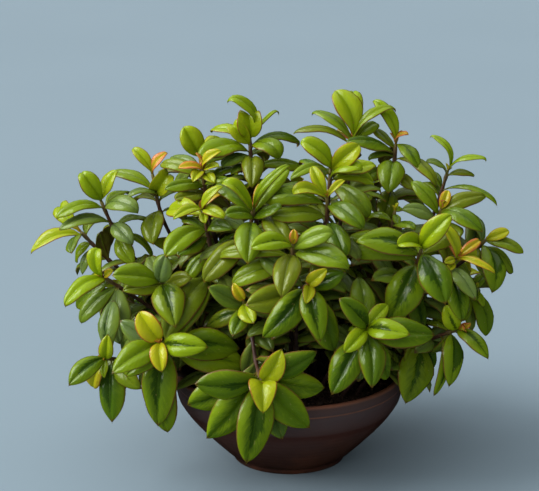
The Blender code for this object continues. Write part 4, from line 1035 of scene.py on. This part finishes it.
def sheetFaces(rows, columns):
    # a closed leaf's quads: the upper grid, the lower one turned over, and the edges between them
    grid = rows * columns
    i, j = np.meshgrid(np.arange(rows - 1), np.arange(columns - 1), indexing="ij")
    corner = (i * columns + j).ravel()
    face = np.stack([corner, corner + 1, corner + columns + 1, corner + columns], 1)
    left = np.arange(rows - 1) * columns
    right = left + columns - 1
    foot = np.arange(columns - 1)
    tip = foot + (rows - 1) * columns
    return np.concatenate([
        face, face[:, ::-1] + grid,
        np.stack([left, left + columns, left + columns + grid, left + grid], 1),
        np.stack([right, right + grid, right + columns + grid, right + columns], 1),
        np.stack([foot, foot + grid, foot + 1 + grid, foot + 1], 1),
        np.stack([tip, tip + 1, tip + 1 + grid, tip + grid], 1)])


def leafSurfaces(leaves, random, columns, rows):
    # Closed leaves on one grid each: v runs from stalk to tip and s from margin to margin.
    # Half width: v to the rise times (1 - v to the bulge) to the fall, and a thin point past the blade's
    # end. Height over the middle line, in half widths: a crest of the sine of pi |s|, less a droop of |s|
    # to the 2.2, plus a fold of |s| where the leaf is young, less a groove at the rib. Past hookFrom the
    # middle line turns down to the hook.
    form = leafForm
    s = np.concatenate([-np.array(columns)[::-1], [0.0], columns])[None, None, :, None]
    v = np.array(rows)[None, :, None]
    leaf = {key: np.array([row[key] for row in leaves], float)[:, None, :] for key in ("base", "tip", "up")}
    number = {key: np.array([row[key] for row in leaves], float)[:, None, None]
              for key in ("arch", "width", "young", "worn")}
    draw = random.uniform(size=(len(leaves), 12))[:, :, None, None]

    def own(key, usual):
        # what a leaf's own look gives, or the usual
        given = np.array([row["look"].get(key, np.nan) for row in leaves], float)[:, None, None]
        return np.where(np.isnan(given), usual, given)

    def drawn(k, span):
        # where each leaf's draw k falls in the span
        return np.interp(draw[:, k], (0, 1), span)

    young = own("young", number["young"])
    leaf["arch"] = number["arch"] * own("arch", 1.0)
    middle, forward, across, normal = leafFrame(leaf, v)
    length = np.linalg.norm(leaf["tip"] - leaf["base"], axis=-1, keepdims=True)
    middle = middle + (draw[:, 1] - 0.5) * 2 * form["sway"] * np.sin(math.pi * v) * length * across
    high = np.interp(leaf["tip"][..., 2:], form["hookHeights"], (0, 1)) + young * form["youngHigher"]
    high = np.clip(high, 0, 1)
    hook = (1 - high) * drawn(0, form["hook"]) + high * drawn(0, form["highHook"])
    hook = own("hook", hook * np.minimum(1, length / form["hookLength"]))
    begins = own("hookFrom", drawn(9, form["hookFrom"]))
    bend = hook * np.clip((v - begins) / (1 - begins), 0, 1) ** 1.2
    step, bendAt = np.diff(middle, axis=1), (bend[:, 1:] + bend[:, :-1]) / 2
    step = step * np.cos(bendAt) - np.cross(across[:, 1:], step) * np.sin(bendAt)
    middle = np.concatenate([middle[:, :1], middle[:, :1] + np.cumsum(step, 1)], 1)
    # a hooked leaf is that much longer that its bend still reaches as far
    along = (leaf["tip"] - leaf["base"]) / length
    reached = ((middle - leaf["base"]) * along).sum(-1, keepdims=True).max(1, keepdims=True)
    middle = leaf["base"] + (middle - leaf["base"]) * length / reached * own("long", 1.0)
    normal = normal * np.cos(bend) + forward * np.sin(bend)
    turn = (draw[:, 2] - 0.5) * 2 * form["twist"] * v
    across, normal = (across * np.cos(turn) + normal * np.sin(turn),
                      normal * np.cos(turn) - across * np.sin(turn))
    # half width along the leaf
    u = np.clip((v - 0.06) / (form["bladeEnd"] - 0.06), 0, 1)
    late = np.clip(draw[:, 8] * 0.6 + high * 0.5, 0, 1)
    rise = own("rise", np.interp(late, (0, 1), form["rise"]))
    bulge = own("bulge", np.interp(late, (0, 1), form["bulge"]))
    fall = drawn(10, form["fall"])
    fine = np.linspace(0, 1, 201)[None, :, None]
    widest = (fine ** rise * (1 - fine ** bulge) ** fall).max(1, keepdims=True)
    shape = u ** rise * (1 - u ** bulge) ** fall / widest
    shape = shape + form["point"] * np.clip((v - 0.72) / 0.2, 0, 1) * (1 - v) ** 0.65
    shape = shape * (form["slim"] + form["youngWider"] * young) * own("wide", 1.0)
    stalk = np.minimum(form["stalkHalf"], length * form["stalkShare"]) * (v < 0.5)
    wide = np.maximum(number["width"] / 2 * shape, stalk + form["leastHalf"])[:, :, None]
    # height over the middle line, from rib to margin
    blade = np.clip((v - 0.05) / 0.11, 0, 1)[:, :, None]
    a = np.abs(s)
    youth = np.minimum(young * form["foldByYoung"], 1)
    crest = own("crest", drawn(3, form["crest"]))[:, :, None] * np.sin(math.pi * a) ** 1.2
    droop = drawn(4, form["droop"])[:, :, None] * (1 - youth[:, :, None]) * a ** 2.2
    fold = own("fold", form["fold"] * youth * drawn(7, form["foldDrawn"]))[:, :, None] * a ** 1.3
    groove = form["groove"] * np.exp(-(a / 0.14) ** 2)
    wave = form["wave"] * np.sin(v[:, :, None] * 11 + draw[:, 5][:, None] * 6.3) * a ** 2 * np.sign(s)
    lift = wide * blade * (crest - droop + fold - groove + wave)
    thin = form["edgeThick"] + (form["thick"] - form["edgeThick"]) * (1 - a ** 2)
    thin = (thin + form["footThicker"] * (1 - blade) * (1 - a)) * np.minimum(1, wide / form["fullFrom"])
    lop = 1 + (draw[:, 8] - 0.5)[:, :, None] * 2 * form["uneven"] * np.sign(s)
    top = middle[:, :, None] + s * lop * wide * across[:, :, None] + (lift + thin / 2) * normal[:, :, None]
    points = np.stack([top, top - thin * normal[:, :, None]], 1)
    grid = s.shape[2] * len(rows)
    faces = sheetFaces(len(rows), s.shape[2])[None] + (np.arange(len(leaves)) * 2 * grid)[:, None, None]
    # what the material reads: place on the leaf and side, age, draw and wear, and flame, tint and height
    one = np.ones(points.shape[:-1])
    side = np.array([1.0, -1.0])[None, :, None, None]
    low = np.interp(leaf["tip"][..., 2:], form["flameHeights"], form["flame"])
    flame = low * draw[:, 5] * np.clip(1.15 - 3 * young, 0, 1) * (1 - 0.6 * number["worn"])
    marks = {"leafPlace": (s[None, ..., 0], v[:, None], side),
             "leafKind": [value[:, None] for value in (young, draw[:, 6], number["worn"])],
             "leafMark": [value[:, None] for value in (own("flame", flame), own("tint", draw[:, 11]), high)]}
    places = {key: np.stack([value * one for value in values], -1) for key, values in marks.items()}
    return points.reshape(-1, 3), faces.reshape(-1, 4), {k: p.reshape(-1, 3) for k, p in places.items()}


stemForm = {
    "rings": 64, "sides": 10, "swelling": 0.35, "swellLength": 0.0016, "tipRings": (0.85, 0.5),
    # uneven by this share, in waves of this many radians a metre
    "wobble": 0.05, "wobbleTurn": 400,
}


def stemSurface(plant, random):
    # a tapering tube along the stem's smoothed line, swollen where leaves grow by bell curves
    form = stemForm
    whole = lengthsAlong(plant["line"])[-1]
    at = np.linspace(0, whole, form["rings"])
    line = slopeLine(plant["line"], at)
    down = (whole - at)[:, None]
    joints = np.unique(np.round([leaf["down"] for leaf in plant["leaves"]], 3))
    swell = np.exp(-((down - joints[None, :]) / form["swellLength"]) ** 2).max(1)
    radius = np.interp(at, np.linspace(0, whole, len(plant["radii"])), plant["radii"])
    wobble = form["wobble"] * np.sin(at * form["wobbleTurn"] + random.uniform(0, 6))
    radius = radius * (1 + form["swelling"] * swell + wobble)
    radius[-2:] *= form["tipRings"]
    points, faces = tube(line, radius, form["sides"])
    caps = poleFaces(form["rings"], form["sides"], len(points))
    points = np.concatenate([points, line[:1], line[-1:]])
    around = np.tile(np.arange(form["sides"]) / form["sides"], form["rings"])
    stemPlace = np.stack([around, np.repeat(down[:, 0], form["sides"]), np.repeat(swell, form["sides"])], -1)
    stemPlace = np.concatenate([stemPlace, [[0, whole, 0], [0, 0, 1]]])
    return points, faces, caps, stemPlace


def makeShoot(plant, number, leafSkin, bark):
    # a stem with its leaves; the inner ones have a coarser grid
    random = np.random.default_rng(1000 + number)
    outer = [leaf for leaf in plant["leaves"] if not leaf["inner"]]
    inner = [leaf for leaf in plant["leaves"] if leaf["inner"]]
    leafPoints, leafFaces, places = leafSurfaces(outer, random, leafForm["columns"], leafForm["rows"])
    points, faces, caps, stemPlace = stemSurface(plant, random)
    if inner:
        innerPoints, innerFaces, innerPlaces = leafSurfaces(inner, random, leafForm["innerColumns"],
                                                            leafForm["innerRows"])
        leafFaces = np.concatenate([leafFaces, innerFaces + len(leafPoints)])
        leafPoints = np.concatenate([leafPoints, innerPoints])
        places = {key: np.concatenate([values, innerPlaces[key]]) for key, values in places.items()}
    shift = len(leafPoints)
    allFaces = leafFaces.tolist() + (faces + shift).tolist() + (caps + shift).tolist()
    shade = np.concatenate([np.zeros(len(leafFaces)), np.ones(len(faces) + len(caps))])
    plain = np.zeros((len(points), 3))
    places = {key: np.concatenate([values, stemPlace if key == "leafPlace" else plain])
              for key, values in places.items()}
    name = plant["name"].replace("stem", "shoot", 1)
    return meshPiece(name, np.concatenate([leafPoints, points]), allFaces, (leafSkin, bark),
                     plant["name"], shade, places)


def makeBowl():
    # the profile from the inner floor's middle over the lip to the foot, turned; faint throwing rings
    # are a sine of the height
    whole = np.concatenate([risen(bowl["hollow"])[::-1], risen(bowl["outside"])])
    length = lengthsAlong(whole)[-1]
    profile = slopeLine(whole, np.linspace(0, length, int(length / bowl["step"])))
    wall = np.clip((profile[:, 1] - 0.004) / 0.006, 0, 1) * np.clip((0.050 - profile[:, 1]) / 0.004, 0, 1)
    profile[:, 0] += bowl["throwingRings"] * wall * np.sin(profile[:, 1] / bowl["ringSpacing"] * 2 * math.pi)
    profile = profile[1:-1]
    points, faces = turned(profile, bowl["sides"])
    caps = poleFaces(len(profile), bowl["sides"], len(points))
    points = np.concatenate([points, [[0, 0, profile[0, 1]], [0, 0, profile[-1, 1]]]])
    # the profile runs from the inside out, so its faces are turned round
    whole = faces[:, ::-1].tolist() + caps[:, ::-1].tolist()
    return meshPiece("glazed_bowl", points, whole, (glazeFinish(),), "pot")


def makeSoil():
    # a mound with lumps from a few crossed sines, closed below along the bowl's wall, and loose crumbs:
    # six-sided double cones of random size and turn
    random = np.random.default_rng(soilBed["seed"])
    edge = soilTop(bowl["rimRadius"])
    low = risen(bowl["hollow"])
    edgeRadius = float(np.interp(edge, low[::-1, 1], low[::-1, 0])) - soilBed["gap"]
    r = np.linspace(soilBed["leastRadius"], edgeRadius, soilBed["rings"])
    under = low[low[:, 1] < edge - soilBed["edge"]] + [-soilBed["gap"], soilBed["gap"]]
    under[:, 0] = np.maximum(under[:, 0], soilBed["leastRadius"])
    profile = np.concatenate([np.stack([r, soilTop(r)], 1), under])
    points, faces = turned(profile, soilBed["sides"])
    x, y = points[:, 0] * 1000, points[:, 1] * 1000
    lumps = (np.sin(x * 1.1 + 2 * np.sin(y * 0.7)) + np.sin(y * 1.3 + 2 * np.sin(x * 0.6 + 1)) +
             0.7 * np.sin(x * 2.9 + y * 1.7) * np.sin(y * 3.1 - x * 1.2))
    top = np.arange(len(points)) < len(r) * soilBed["sides"]
    calm = np.clip((edgeRadius - np.hypot(points[:, 0], points[:, 1])) / soilBed["edge"], 0, 1)
    points[:, 2] += np.where(top, soilBed["lumps"] * lumps * calm, 0)
    caps = poleFaces(len(profile), soilBed["sides"], len(points))
    points = np.concatenate([points, [[0, 0, soilTop(0)], [0, 0, profile[-1, 1]]]])
    count = soilBed["crumbs"]
    away = (edgeRadius - soilBed["edge"]) * np.sqrt(random.uniform(size=count))
    bearing = random.uniform(0, 2 * math.pi, count)
    size = np.exp(random.uniform(*np.log(soilBed["crumbSize"]), count))
    centre = np.stack([away * np.cos(bearing), away * np.sin(bearing), soilTop(away) + size * 0.35], 1)
    k = np.arange(6)
    shape = np.stack([np.cos(k * math.pi / 3), np.sin(k * math.pi / 3), 0.25 * (-1.0) ** k], 1)
    shape = np.concatenate([shape, [[0.1, 0, 0.8], [0, 0.1, -0.8]]])
    stretch = random.uniform(0.55, 1.3, (count, 1, 3))
    lump = shape[None] * stretch * random.uniform(0.75, 1.2, (count, 8, 1))
    tilt = unit(random.normal(size=(count, 3)))
    swing = random.uniform(0, math.pi, count)[:, None, None]
    axis = tilt[:, None, :]
    kept = axis * (lump * axis).sum(-1, keepdims=True)
    lump = kept + (lump - kept) * np.cos(swing) + np.cross(axis, lump) * np.sin(swing)
    crumbs = (centre[:, None] + lump * size[:, None, None]).reshape(-1, 3)
    m = (k + 1) % 6
    cone = np.concatenate([np.stack([k, m, k * 0 + 6], 1), np.stack([m, k, k * 0 + 7], 1)])
    cones = (cone[None] + (np.arange(count) * 8)[:, None, None]).reshape(-1, 3) + len(points)
    # the mound's profile runs outward along its top, so its faces are turned over
    whole = faces[:, ::-1].tolist() + caps[:, ::-1].tolist() + cones.tolist()
    return meshPiece("soil_bed", np.concatenate([points, crumbs]), whole, (mixFinish(),),
                     "soil")


leafSkin, bark = leafFinish(), barkFinish()
for number, plant in enumerate(plants.values()):
    makeShoot(plant, number, leafSkin, bark)
print("shoots made:", len(plants))
makeBowl()
makeSoil()
print("bowl and potting mix made")

studio = {
    "wall": (0.50, 0.54, 0.56), "wallStrength": 0.60, "floorSize": 8.0,
    # each light: the way it comes from, strength, colour, how wide it is in degrees, and whether it
    # shines in gloss
    "lights": (("window", (-1.30, -0.10, 1.00), 3.4, (1.0, 0.99, 0.97), 50, True),
               ("sky", (-0.10, 0.45, 1.0), 0.8, (0.97, 0.99, 1.0), 80, True),
               ("room", (-0.45, -1.0, 0.70), 1.05, (1.0, 0.98, 0.94), 60, False)),
}


def makeStudio():
    mesh = bpy.data.meshes.new("floor")
    half = studio["floorSize"] / 2
    corners = [(-half, -half, 0), (half, -half, 0), (half, half, 0), (-half, half, 0)]
    mesh.from_pydata(corners, [], [(0, 1, 2, 3)])
    mesh.materials.append(floorFinish())
    floor = added("floor", mesh)
    floor.visible_glossy = False
    world = bpy.data.worlds.new("wall")
    world.use_nodes = True
    back = world.node_tree.nodes["Background"]
    back.inputs["Color"].default_value = (*studio["wall"], 1.0)
    back.inputs["Strength"].default_value = studio["wallStrength"]
    bpy.context.scene.world = world
    world.cycles_visibility.glossy = False
    for name, come, strength, tint, degrees, shines in studio["lights"]:
        lamp = bpy.data.lights.new(name, "SUN")
        lamp.energy, lamp.color, lamp.angle = strength, tint, math.radians(degrees)
        holder = added(name, lamp)
        holder.rotation_euler = Vector(come).to_track_quat("Z", "Y").to_euler()
        holder.visible_glossy = shines


def makeCamera():
    camera = added("camera", bpy.data.cameras.new("camera"))
    camera.data.sensor_width = 36.0
    camera.data.lens = camera.data.sensor_width * view["focalPx"] / view["framePx"][0]
    camera.data.clip_end = 20.0
    camera.location = eye
    camera.rotation_euler = (math.pi / 2 - view["pitch"], 0, 0)
    bpy.context.scene.camera = camera
    bpy.context.scene.view_settings.view_transform = "Standard"


makeStudio()
makeCamera()
print("floor, light and camera made")
